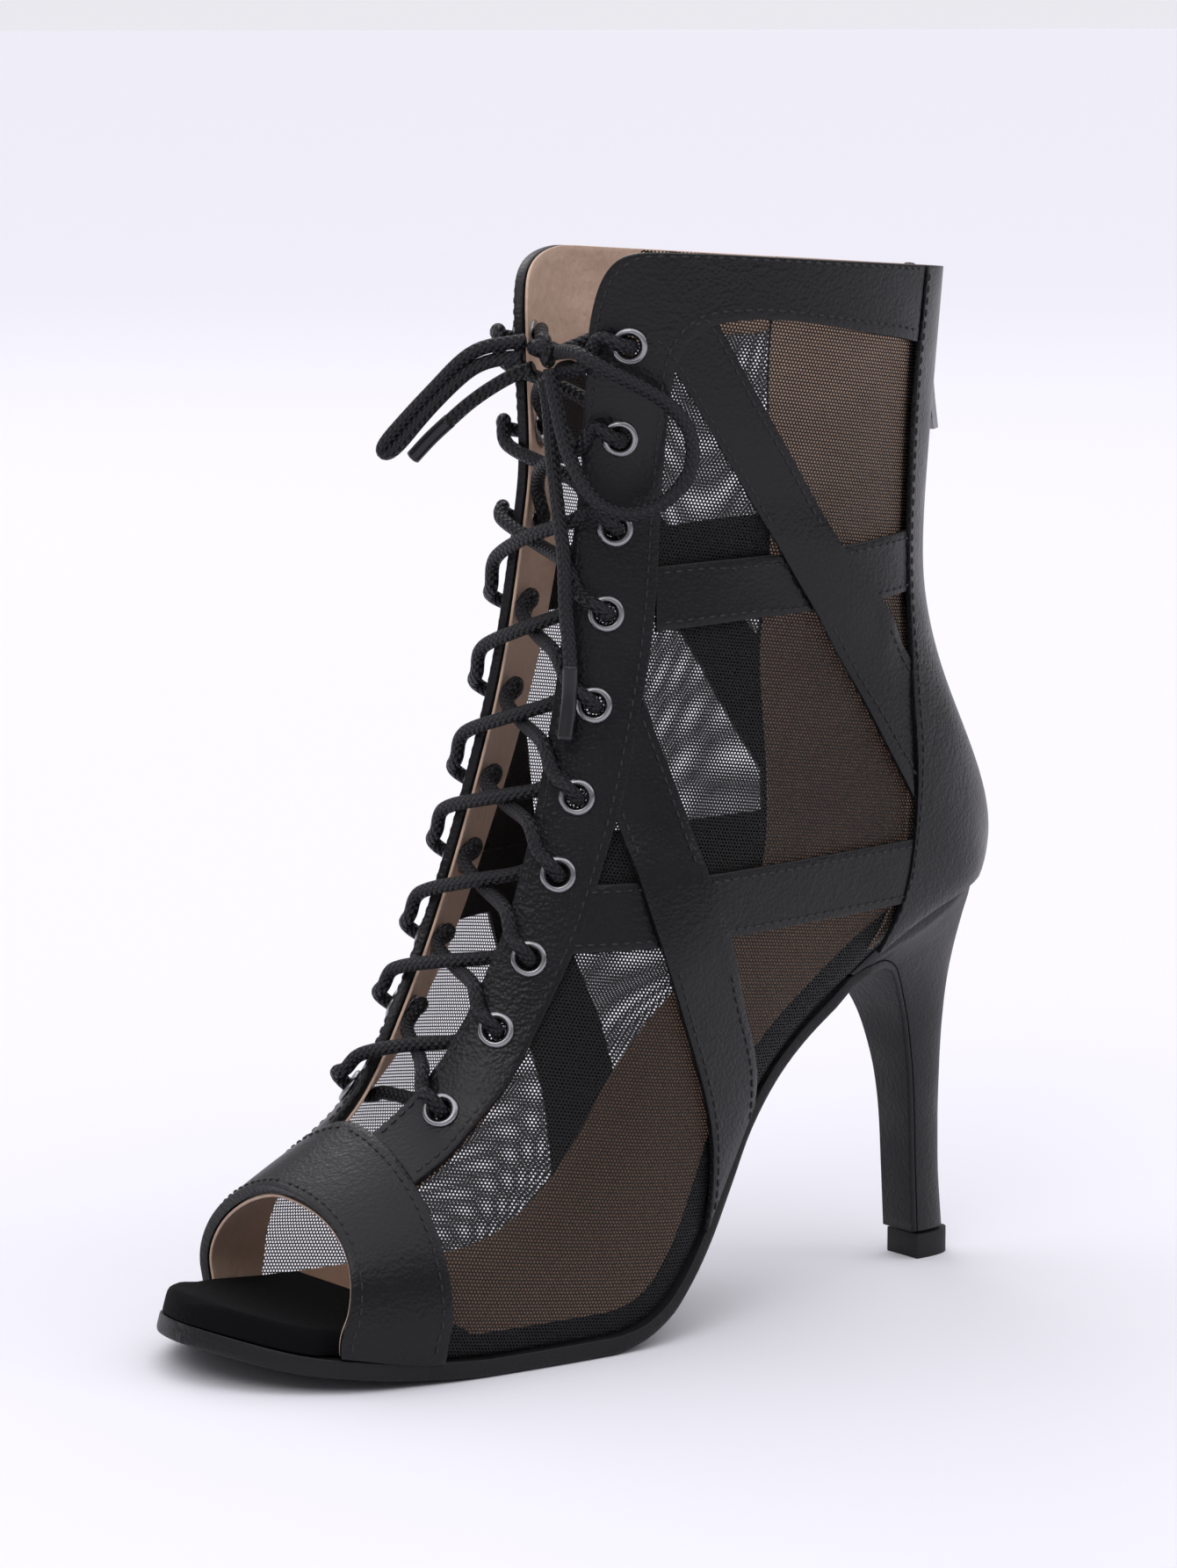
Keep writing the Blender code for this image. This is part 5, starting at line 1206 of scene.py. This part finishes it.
def strap_places(table, columns, bar, side):
    """Places and lifts of a strap's cage, as in the part."""
    way = 0.0
    for row, following in zip(table, table[1:]):
        run = (row[0] + row[2] - following[0] - following[2]) / 2 * LENGTH
        rise = (row[1] + row[3] - following[1] - following[3]) / 2 * COLLAR_HEIGHT
        way += math.hypot(run, rise)
    rows = max(4, round(way / PANEL_STEP))
    places, lifts = {}, {}
    for i in range(rows + 1):
        values = table_row(table, (len(table) - 1) * i / rows)
        for j in range(columns + 1):
            share = j / columns
            along = values[0] + (values[2] - values[0]) * share
            up = values[1] + (values[3] - values[1]) * share
            along = max(along, seam_along(up) - TUCK / LENGTH)
            if up < collar_low(along):
                along = min(along, facing_rear(up) + TUCK / LENGTH)
            up = min(up, collar_low(along) + TUCK / COLLAR_HEIGHT)
            s, turn = place_at(along, up, side)
            places[i, j] = (s, max(turn, LOWEST_TURN), side)
            lifts[i, j] = STRAP_LIFT + ride_over(along, up, bar)
    return places, lifts, rows


def build_straps():
    """Eight straps with stitched edges."""
    bm = bmesh.new()
    for name, table, columns, bar in STRAPS:
        if name == "upper_diagonal":
            table = [HIDDEN_END] + table
        for side, side_name in SIDES:
            places, lifts, rows = strap_places(table, columns, bar, side)
            cells = grid_cells(range(rows), columns, -side, plain_key)
            thing = fine_sheet(f"{name}_{side_name}_leather", places, cells, lifts, LEATHER, "leather",
                               [f"{name}_{side_name}"])
            tree = surface(thing)
            for first, second in ((0, 1), (columns, columns - 1)):
                keys = [((i, first), (i, second)) for i in range(rows + 1)]
                add_stitches(bm, rail(places, STITCH_LIFT, keys, columns * STRAP_STITCH), tree)
    finish_bm("strap_stitches", bm, "thread")


def fine_stations():
    """Many more rows of the sole than in the part, from the toe tip back to the seat."""
    toe = []
    for i in range(TOE_STATIONS):
        toe.append(TOE_ROUND_FROM + (1 - TOE_ROUND_FROM) * math.cos(i / TOE_STATIONS * math.pi / 2))
    return toe + spread(SOLE_STATIONS, TOE_ROUND_FROM, SOLE_LINE[6][0])


def fine_breast():
    """Points of the heel's front with their outward directions and the cover's thickness."""
    places = np.linspace(0.0, len(HEEL) - 1, HEEL_STEPS * (len(HEEL) - 1) + 1)
    rows = [(float(at), *table_row(HEEL, float(at))) for at in places]
    points = [Vector((row[1] * LENGTH, 0.0, row[2] * SEAT_RISE)) for row in rows]
    found = []
    for i, row in enumerate(rows):
        ahead = points[min(i + 1, len(points) - 1)] - points[max(i - 1, 0)]
        share = max(0.0, 1 - row[0] / 4)
        thickness = COVER_THICKNESS + (SHANK_THICKNESS - COVER_THICKNESS) * share
        found.append((points[i], Vector((-ahead.z, 0.0, ahead.x)).normalized(), thickness, row))
    return found


def rounded(corners, sizes):
    """A ring with each corner rounded by its own size."""
    ring = []
    for i, corner in enumerate(corners):
        before, after = corners[i - 1] - corner, corners[(i + 1) % len(corners)] - corner
        size = min(sizes[i], 0.45 * before.length, 0.45 * after.length)
        start, end = corner + before.normalized() * size, corner + after.normalized() * size
        for k in range(ROUND_STEPS + 1):
            u = k / ROUND_STEPS
            ring.append(start * (1 - u) ** 2 + corner * 2 * u * (1 - u) + end * u ** 2)
    return ring


def sole_ring(top, bottom, halves, upper_round, lower_round):
    """A ring across the sole or the footbed with its corners rounded."""
    corners = [top + Vector((0, -halves[OUTER], 0)), top + Vector((0, halves[INNER], 0)),
               bottom + Vector((0, halves[INNER], 0)), bottom + Vector((0, -halves[OUTER], 0))]
    return rounded(corners, (upper_round, upper_round, lower_round, lower_round))


def fine_loft(name, rings, look, nodes, bevel):
    """A loft, with its edges rounded where a bevel is given."""
    count = len(rings[0])
    verts = [tuple(p) for ring in rings for p in ring]
    faces = [face[::-1] for face in end_strips(0, count)] + end_strips((len(rings) - 1) * count, count)
    for i in range(len(rings) - 1):
        for j in range(count):
            k = (j + 1) % count
            faces.append([i * count + j, i * count + k, (i + 1) * count + k, (i + 1) * count + j])
    mesh = bpy.data.meshes.new(name)
    mesh.from_pydata(verts, [], faces)
    bm = bmesh.new()
    bm.from_mesh(mesh)
    bmesh.ops.recalc_face_normals(bm, faces=bm.faces)
    bm.to_mesh(mesh)
    bm.free()
    mesh.shade_smooth()
    thing = link(name, mesh, look, nodes)
    if bevel:
        add_bevel(thing, bevel, 3, 0.9)
        bake(thing)
        thing.data.shade_smooth()


def build_sole():
    """Outsole, which turns down the heel's front."""
    path = []
    for along in fine_stations():
        seat, up = sole_frame(along)
        top = seat - up * GAP
        share = min(max((along - 0.50) / 0.10, 0.0), 1.0)
        thickness = SHANK_THICKNESS + (SOLE_THICKNESS - SHANK_THICKNESS) * share
        halves = {side: half_plan(along, side) + SOLE_EDGE for side in (OUTER, INNER)}
        path.append((top, top - up * thickness, halves))
    for point, direction, thickness, row in fine_breast():
        half = row[5] * BALL_WIDTH
        path.append((point + direction * thickness, point, {OUTER: half, INNER: half}))
    rings = [sole_ring(*step, SOLE_TOP_ROUND, SOLE_ROUND) for step in path]
    fine_loft("sole", rings, "sole", ["outsole"], 0.0)


def half_circle():
    """Cosine and sine of steps round the back half of a circle, from side to side."""
    angles = [math.pi * (j / FINE_SIDES - 0.5) for j in range(FINE_SIDES + 1)]
    return [(math.cos(angle), math.sin(angle)) for angle in angles]


def build_fine_heel():
    """The covered heel and its top piece."""
    rings = []
    for point, direction, thickness, row in fine_breast():
        front = point + direction * (thickness + 0.5 * GAP)
        back = Vector((row[3] * LENGTH, 0.0, row[4] * SEAT_RISE))
        ring = []
        for share_back, share_side in half_circle():
            x = front.x + (back.x - front.x) * share_back
            z = front.z + (back.z - front.z) * share_back
            if row[0] == 0.0:
                z = feather_z((SEAT_OVERHANG - x) / LENGTH) - GAP
            ring.append(Vector((x, row[5] * BALL_WIDTH * share_side, z)))
        rings.append(ring)
    fine_loft("covered_heel", rings, "heel_cover", ["heel"], HEEL_EDGE)
    rings = []
    for z in (0.0, TOP_PIECE_HEIGHT - GAP):
        ring = []
        for share_back, share_side in half_circle():
            x = TOP_PIECE_LENGTH * (max(share_back, 0.0) ** TOP_PIECE_ROUND - 0.5)
            ring.append(Vector((x, TOP_PIECE_WIDTH / 2 * share_side, z)))
        rings.append(ring)
    fine_loft("top_piece", rings, "rubber", ["heel_top_piece"], EDGE_ROUND)


def build_fine_footbed():
    """The padded footbed with its suede toe and tan sock."""
    inset = NET + 3 * GAP
    stations = fine_stations()
    stations += spread(SEAT_STATIONS, stations[-1], 0.2 * HEEL_ROUND_FROM)[1:]
    rings = []
    for along in stations:
        bottom, up = sole_frame(along)
        share = min(max((TOE_OPEN_AT - along) / 0.02, 0.0), 1.0)
        ahead = min(along, HEEL_ROUND_FROM) - 1.4 * inset / LENGTH
        halves = {}
        for side in (OUTER, INNER):
            half = half_plan(along, side) - inset * share + TOE_FLARE * (1 - share)
            if along < HEEL_ROUND_FROM:
                half = min(half, half_plan(max(ahead, 0.0), side) - 0.4 * inset)
            halves[side] = max(half, 0.001)
        near_tip = max(0.0, (along - 0.985) / 0.015)
        top = bottom + up * FOOTBED * (1 - 0.3 * near_tip ** 2)
        rings.append(sole_ring(top, bottom, halves, SUEDE_ROUND, FOOTBED_ROUND))
    fine_loft("footbed", rings, "suede", ["insole"], 0.0)


def eyelet_profile():
    """Radius and height round an eyelet's wall: rolled flange, bore, clinched back."""
    bore, wall, flange = EYELET_BORE / 2, EYELET_BORE / 2 + EYELET_WALL, EYELET_WIDTH / 2
    base = PANEL_LIFT + LEATHER
    low = -NET - LINING - 0.0001
    middle = (bore + flange) / 2
    profile = []
    for i in range(ROLL_STEPS + 1):
        angle = math.pi * i / ROLL_STEPS
        profile.append((middle + (flange - middle) * math.cos(angle),
                        base + EYELET_FLANGE * ROLL_HIGH * math.sin(angle)))
    profile.append((bore, low - EYELET_FLANGE * 0.6))
    profile += [(wall + beyond, low - EYELET_FLANGE * deep) for beyond, deep in EYELET_BACK]
    return profile + [(wall, base)]


# Metal
def build_fine_eyelets():
    """Rolled metal eyelets on both sides."""
    profile = eyelet_profile()
    bm = bmesh.new()
    for side in (OUTER, INNER):
        for s in EYELETS:
            matrix = eyelet_matrix(s, side)
            rings = []
            for k in range(EYELET_SIDES):
                angle = 2 * math.pi * k / EYELET_SIDES
                rings.append([bm.verts.new(matrix @ Vector((r * math.cos(angle), r * math.sin(angle), z)))
                              for r, z in profile])
            for k in range(EYELET_SIDES):
                one, two = rings[k], rings[(k + 1) % EYELET_SIDES]
                for i in range(len(profile)):
                    j = (i + 1) % len(profile)
                    bm.faces.new([one[i], two[i], two[j], one[j]])
    bmesh.ops.recalc_face_normals(bm, faces=bm.faces)
    nodes = [f"eyelet_{name}_{n:02d}" for side, name in SIDES for n in range(1, len(EYELETS) + 1)]
    finish_bm("eyelets", bm, "nickel", nodes)


# Lace
def dense(route, step=0.0008):
    """Close points on a smooth curve through a route."""
    values = np.array([tuple(p) for p in route], float)
    gaps = np.linalg.norm(np.diff(values, axis=0), axis=1)
    knots = np.concatenate([[0.0], np.cumsum(np.sqrt(gaps))])
    points = []
    for i in range(len(values) - 1):
        before, after = max(i - 1, 0), min(i + 2, len(values) - 1)
        p0, p1, p2, p3 = values[before], values[i], values[i + 1], values[after]
        t0, t1, t2, t3 = knots[before], knots[i], knots[i + 1], knots[after]
        width = t2 - t1
        m1 = (p2 - p0) / (t2 - t0) * width
        m2 = (p3 - p1) / (t3 - t1) * width
        count = max(2, round(gaps[i] / step))
        for k in range(count):
            u = k / count
            points.append(Vector((2 * u**3 - 3 * u**2 + 1) * p1 + (u**3 - 2 * u**2 + u) * m1
                                 + (3 * u**2 - 2 * u**3) * p2 + (u**3 - u**2) * m2))
    points.append(Vector(values[-1]))
    return points


def relaxed(points, rounds=6):
    """Points with their sharp turns eased."""
    for _ in range(rounds):
        eased = [(a + b * 2 + c) / 4 for a, b, c in zip(points, points[1:], points[2:])]
        points = [points[0]] + eased + [points[-1]]
    return points


def cord_mesh(name, points, radius, look, nodes):
    """A round cord along points, with the way round and the way along as texture coordinates."""
    bm = bmesh.new()
    layer = bm.loops.layers.uv.new("UVMap")
    across = None
    rings, ways = [], []
    way = 0.0
    for i, point in enumerate(points):
        ahead = (points[min(i + 1, len(points) - 1)] - points[max(i - 1, 0)]).normalized()
        if across is None:
            across = ahead.orthogonal().normalized()
        across = (across - ahead * across.dot(ahead)).normalized()
        other = ahead.cross(across)
        if i:
            way += (point - points[i - 1]).length
        ring = []
        for k in range(CORD_SIDES):
            angle = 2 * math.pi * k / CORD_SIDES
            outward = across * math.cos(angle) + other * math.sin(angle)
            ring.append(bm.verts.new(point + outward * radius))
        rings.append(ring)
        ways.append(way)
    for i in range(len(rings) - 1):
        for k in range(CORD_SIDES):
            j = (k + 1) % CORD_SIDES
            face = bm.faces.new([rings[i][k], rings[i][j], rings[i + 1][j], rings[i + 1][k]])
            corners = ((k, i), (k + 1, i), (k + 1, i + 1), (k, i + 1))
            for loop, (around, row) in zip(face.loops, corners):
                loop[layer].uv = (around / CORD_SIDES, ways[row] * 1000.0)
    bm.faces.new(rings[0][::-1])
    bm.faces.new(rings[-1])
    bmesh.ops.recalc_face_normals(bm, faces=bm.faces)
    return finish_bm(name, bm, look, nodes)


def through_eyelet(n, side, from_outside):
    """The lace's way through eyelet row n, counted from the collar, from outside in or inside out."""
    s = EYELETS[-n]
    start = eyelet_turn(s, side)
    reach = throat_turn(s, side) - start
    way = [skin(s, start + reach * share, side, lift) for lift, share in EYELET_PATH]
    return way if from_outside else way[::-1]


def across_throat(n, side, over):
    """From eyelet row n on one side to row n + 1 on the other: the throat's edges and the middle."""
    upper, lower = EYELETS[-n], EYELETS[-n - 1]
    near, far = upper + (lower - upper) * LACE_LEAVES, lower + (upper - lower) * LACE_ARRIVES
    above_out, below_out = n <= CROSSINGS_OVER, n >= CROSSINGS_DOWN
    start, stop = lace_edge(near, side, above_out), lace_edge(far, -side, below_out)
    middle = (start + stop + lace_edge(near, -side, above_out) + lace_edge(far, side, below_out)) / 4
    outward = Vector((-1.0, 0.0, 0.6)).normalized()
    return [start, middle + outward * over * LACE * STRANDS_APART, stop]


def lace_route():
    """The whole lace from the knot down one way, over the bar and back up to the knot."""
    count = len(EYELETS)
    knot = Vector(KNOT)
    route = [knot + Vector((0.0012, -0.0028, -0.0006))]
    side = OUTER
    for n in range(1, count + 1):
        route += through_eyelet(n, side, n > CROSSINGS_DOWN)
        if n < count:
            route += across_throat(n, side, 1.0 if n % 2 else -1.0)
            side = -side
    side = -side
    route += through_eyelet(count, side, False)
    for n in range(count - 1, 0, -1):
        route += across_throat(n, -side, -1.0 if n % 2 else 1.0)[::-1]
        side = -side
        route += through_eyelet(n, side, n <= CROSSINGS_OVER)
    route.append(knot + Vector((0.0012, 0.0028, -0.0006)))
    return route


def build_lace():
    """The lace through its eyelets, and the knot's two turns, which it hands back."""
    nodes = [f"lace_crossing_{n}" for n in range(1, len(EYELETS))] + ["lace_bottom_bar"]
    cord_mesh("lace_run", relaxed(dense(lace_route(), 0.0007)), LACE / 2, "lace", nodes)
    made = []
    for name, tilt, turn, size in KNOT_TURNS:
        ring = []
        for k in range(KNOT_STEPS + 1):
            angle = 2 * math.pi * k / KNOT_STEPS
            p = Vector((size * math.cos(angle), size * 1.05 * math.sin(angle), 0.0))
            p.rotate(Matrix.Rotation(tilt, 3, "Y"))
            p.rotate(Matrix.Rotation(turn, 3, "Z"))
            ring.append(Vector(KNOT) + p)
        made.append(cord_mesh(name, ring, LACE / 2, "lace", ["lace_knot"]))
    return made


def free_cord(points):
    """Measure a free piece of the lace, which comes out of the knot; the results are not kept."""
    length = sum((q - p).length for p, q in zip(points, points[1:]))
    tuple(points[0])
    [tuple(p) for p in points]


def build_bow(knot_pieces):
    """The bow's loops and ends, each a free cord from the knot."""
    loops = (("lace_loop_far", LOOP_FAR, []), ("lace_loop_near", LOOP_NEAR, knot_pieces))
    for name, route, pieces in loops:
        points = relaxed(dense(route), 12)
        loop = cord_mesh(name + "_cord", points, LACE / 2, "lace", [name])
        free_cord(points)
    for name, route, tip in (("far", END_FAR, TIP_FAR), ("near", END_NEAR, TIP_NEAR)):
        points = dense(route + tip[1:])
        end = cord_mesh(f"lace_end_{name}_cord", points, LACE / 2, "lace", [f"lace_end_{name}"])
        sleeve = cord_mesh(f"lace_tip_{name}_sleeve", dense(tip), LACE / 2 + SLEEVE_WALL, "sleeve",
                           [f"lace_tip_{name}"])
        free_cord(points)


# Zip
def build_zip():
    """Zip tape with its coil, and finishes for the slider and the pull."""
    rows = even_rows(section_at_back(ZIP_FOOT), COLLAR_ROW)
    places, cells = {}, []
    for i, s in enumerate(rows):
        places[i, 0] = (s, 0.0, INNER)
        for side in (OUTER, INNER):
            places[i, side] = (s, slot_turn(s, ZIP_SLOT / 2 + TAPE_UNDER), side)
    for i in range(len(rows) - 1):
        cells.append([(i, OUTER), (i, 0), (i + 1, 0), (i + 1, OUTER)])
        cells.append([(i, 0), (i, INNER), (i + 1, INNER), (i + 1, 0)])
    lifts = dict.fromkeys(places, TAPE_LIFT)
    fine_sheet("zip_tape_cloth", places, cells, lifts, TAPE, "tape", ["zip_tape"], 0.0)
    line = [skin(s, 0.0, INNER, COIL_LIFT) for s in rows[1:]]
    across = Vector((0.0, 1.0, 0.0))
    bm = bmesh.new()
    for k, (spot, ahead) in enumerate(evenly(line, COIL_PITCH)):
        out = across.cross(ahead).normalized()
        matrix = Matrix((out, across, ahead)).transposed().to_4x4()
        matrix.translation = spot + across * (COIL_SHIFT if k % 2 else -COIL_SHIFT)
        bmesh.ops.create_uvsphere(bm, u_segments=8, v_segments=5, radius=1.0,
                                  matrix=matrix @ Matrix.Diagonal((*COIL_SIZE, 1.0)))
    finish_bm("zip_coil", bm, "coil")
    for name in ("zip_slider", "zip_pull"):
        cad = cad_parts[name]
        cad.data.materials.clear()
        cad.data.materials.append(LOOKS["nickel"][0])


def build_camera():
    """The photograph's view."""
    azimuth, elevation = math.radians(CAMERA_AZIMUTH), math.radians(CAMERA_ELEVATION)
    back = Vector((math.sin(azimuth) * math.cos(elevation), -math.cos(azimuth) * math.cos(elevation),
                   math.sin(elevation)))
    data = bpy.data.cameras.new("camera")
    data.sensor_width = 36.0
    data.sensor_fit = "AUTO"
    data.lens = CAMERA_FOCAL_PIXELS * data.sensor_width / FRAME_LONG_SIDE
    data.clip_start = 0.05
    data.clip_end = 200.0
    camera = bpy.data.objects.new("camera", data)
    camera.location = Vector(CAMERA_TARGET) + back * CAMERA_DISTANCE
    camera.rotation_euler = (-back).to_track_quat("-Z", "Y").to_euler()
    bpy.context.scene.collection.objects.link(camera)
    bpy.context.scene.camera = camera


def area_light(name, place, size, power):
    """A soft square light that looks at the boot."""
    data = bpy.data.lights.new(name, "AREA")
    data.shape = "SQUARE"
    data.size = size
    data.energy = power
    light = bpy.data.objects.new(name, data)
    light.location = place
    light.rotation_euler = (Vector(LIT_POINT) - Vector(place)).to_track_quat("-Z", "Y").to_euler()
    bpy.context.scene.collection.objects.link(light)


def build_stage():
    """A pale floor and soft light all round."""
    bm = bmesh.new()
    bmesh.ops.create_grid(bm, x_segments=1, y_segments=1, size=80.0)
    mesh = bpy.data.meshes.new("floor")
    bm.to_mesh(mesh)
    bm.free()
    mesh.materials.append(new_material("pale_floor", (0.86, 0.85, 0.885), 0.8))
    floor = bpy.data.objects.new("floor", mesh)
    bpy.context.scene.collection.objects.link(floor)
    world = bpy.data.worlds.new("studio")
    bpy.context.scene.world = world
    world.use_nodes = True
    sky = world.node_tree.nodes["Background"]
    place = node(world, "ShaderNodeTexCoord").outputs["Generated"]
    bands = node(world, "ShaderNodeValToRGB", Fac=split(world, place)["Z"])
    put(world, bands.outputs["Color"], sky.inputs["Color"])
    for stop in list(bands.color_ramp.elements)[1:]:
        bands.color_ramp.elements.remove(stop)
    for i, (height, bright) in enumerate(SKY):
        stop = bands.color_ramp.elements[0] if i == 0 else bands.color_ramp.elements.new(height)
        stop.position = height
        stop.color = (bright * 0.955, bright * 0.945, bright, 1.0)
    sky.inputs["Strength"].default_value = SKY_STRENGTH
    for light in LIGHTS:
        area_light(*light)
    bpy.context.scene.view_settings.view_transform = "Standard"


def main():
    """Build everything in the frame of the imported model."""
    build_camera()
    build_stage()
    build_bow(build_lace())
    tool = eyelet_cutter()
    build_net()
    build_facings(tool)
    bpy.data.objects.remove(tool, do_unlink=True)
    build_toe_band_leather()
    build_back_panel()
    build_straps()
    build_sole()
    build_fine_heel()
    build_fine_footbed()
    build_fine_eyelets()
    build_zip()


main()
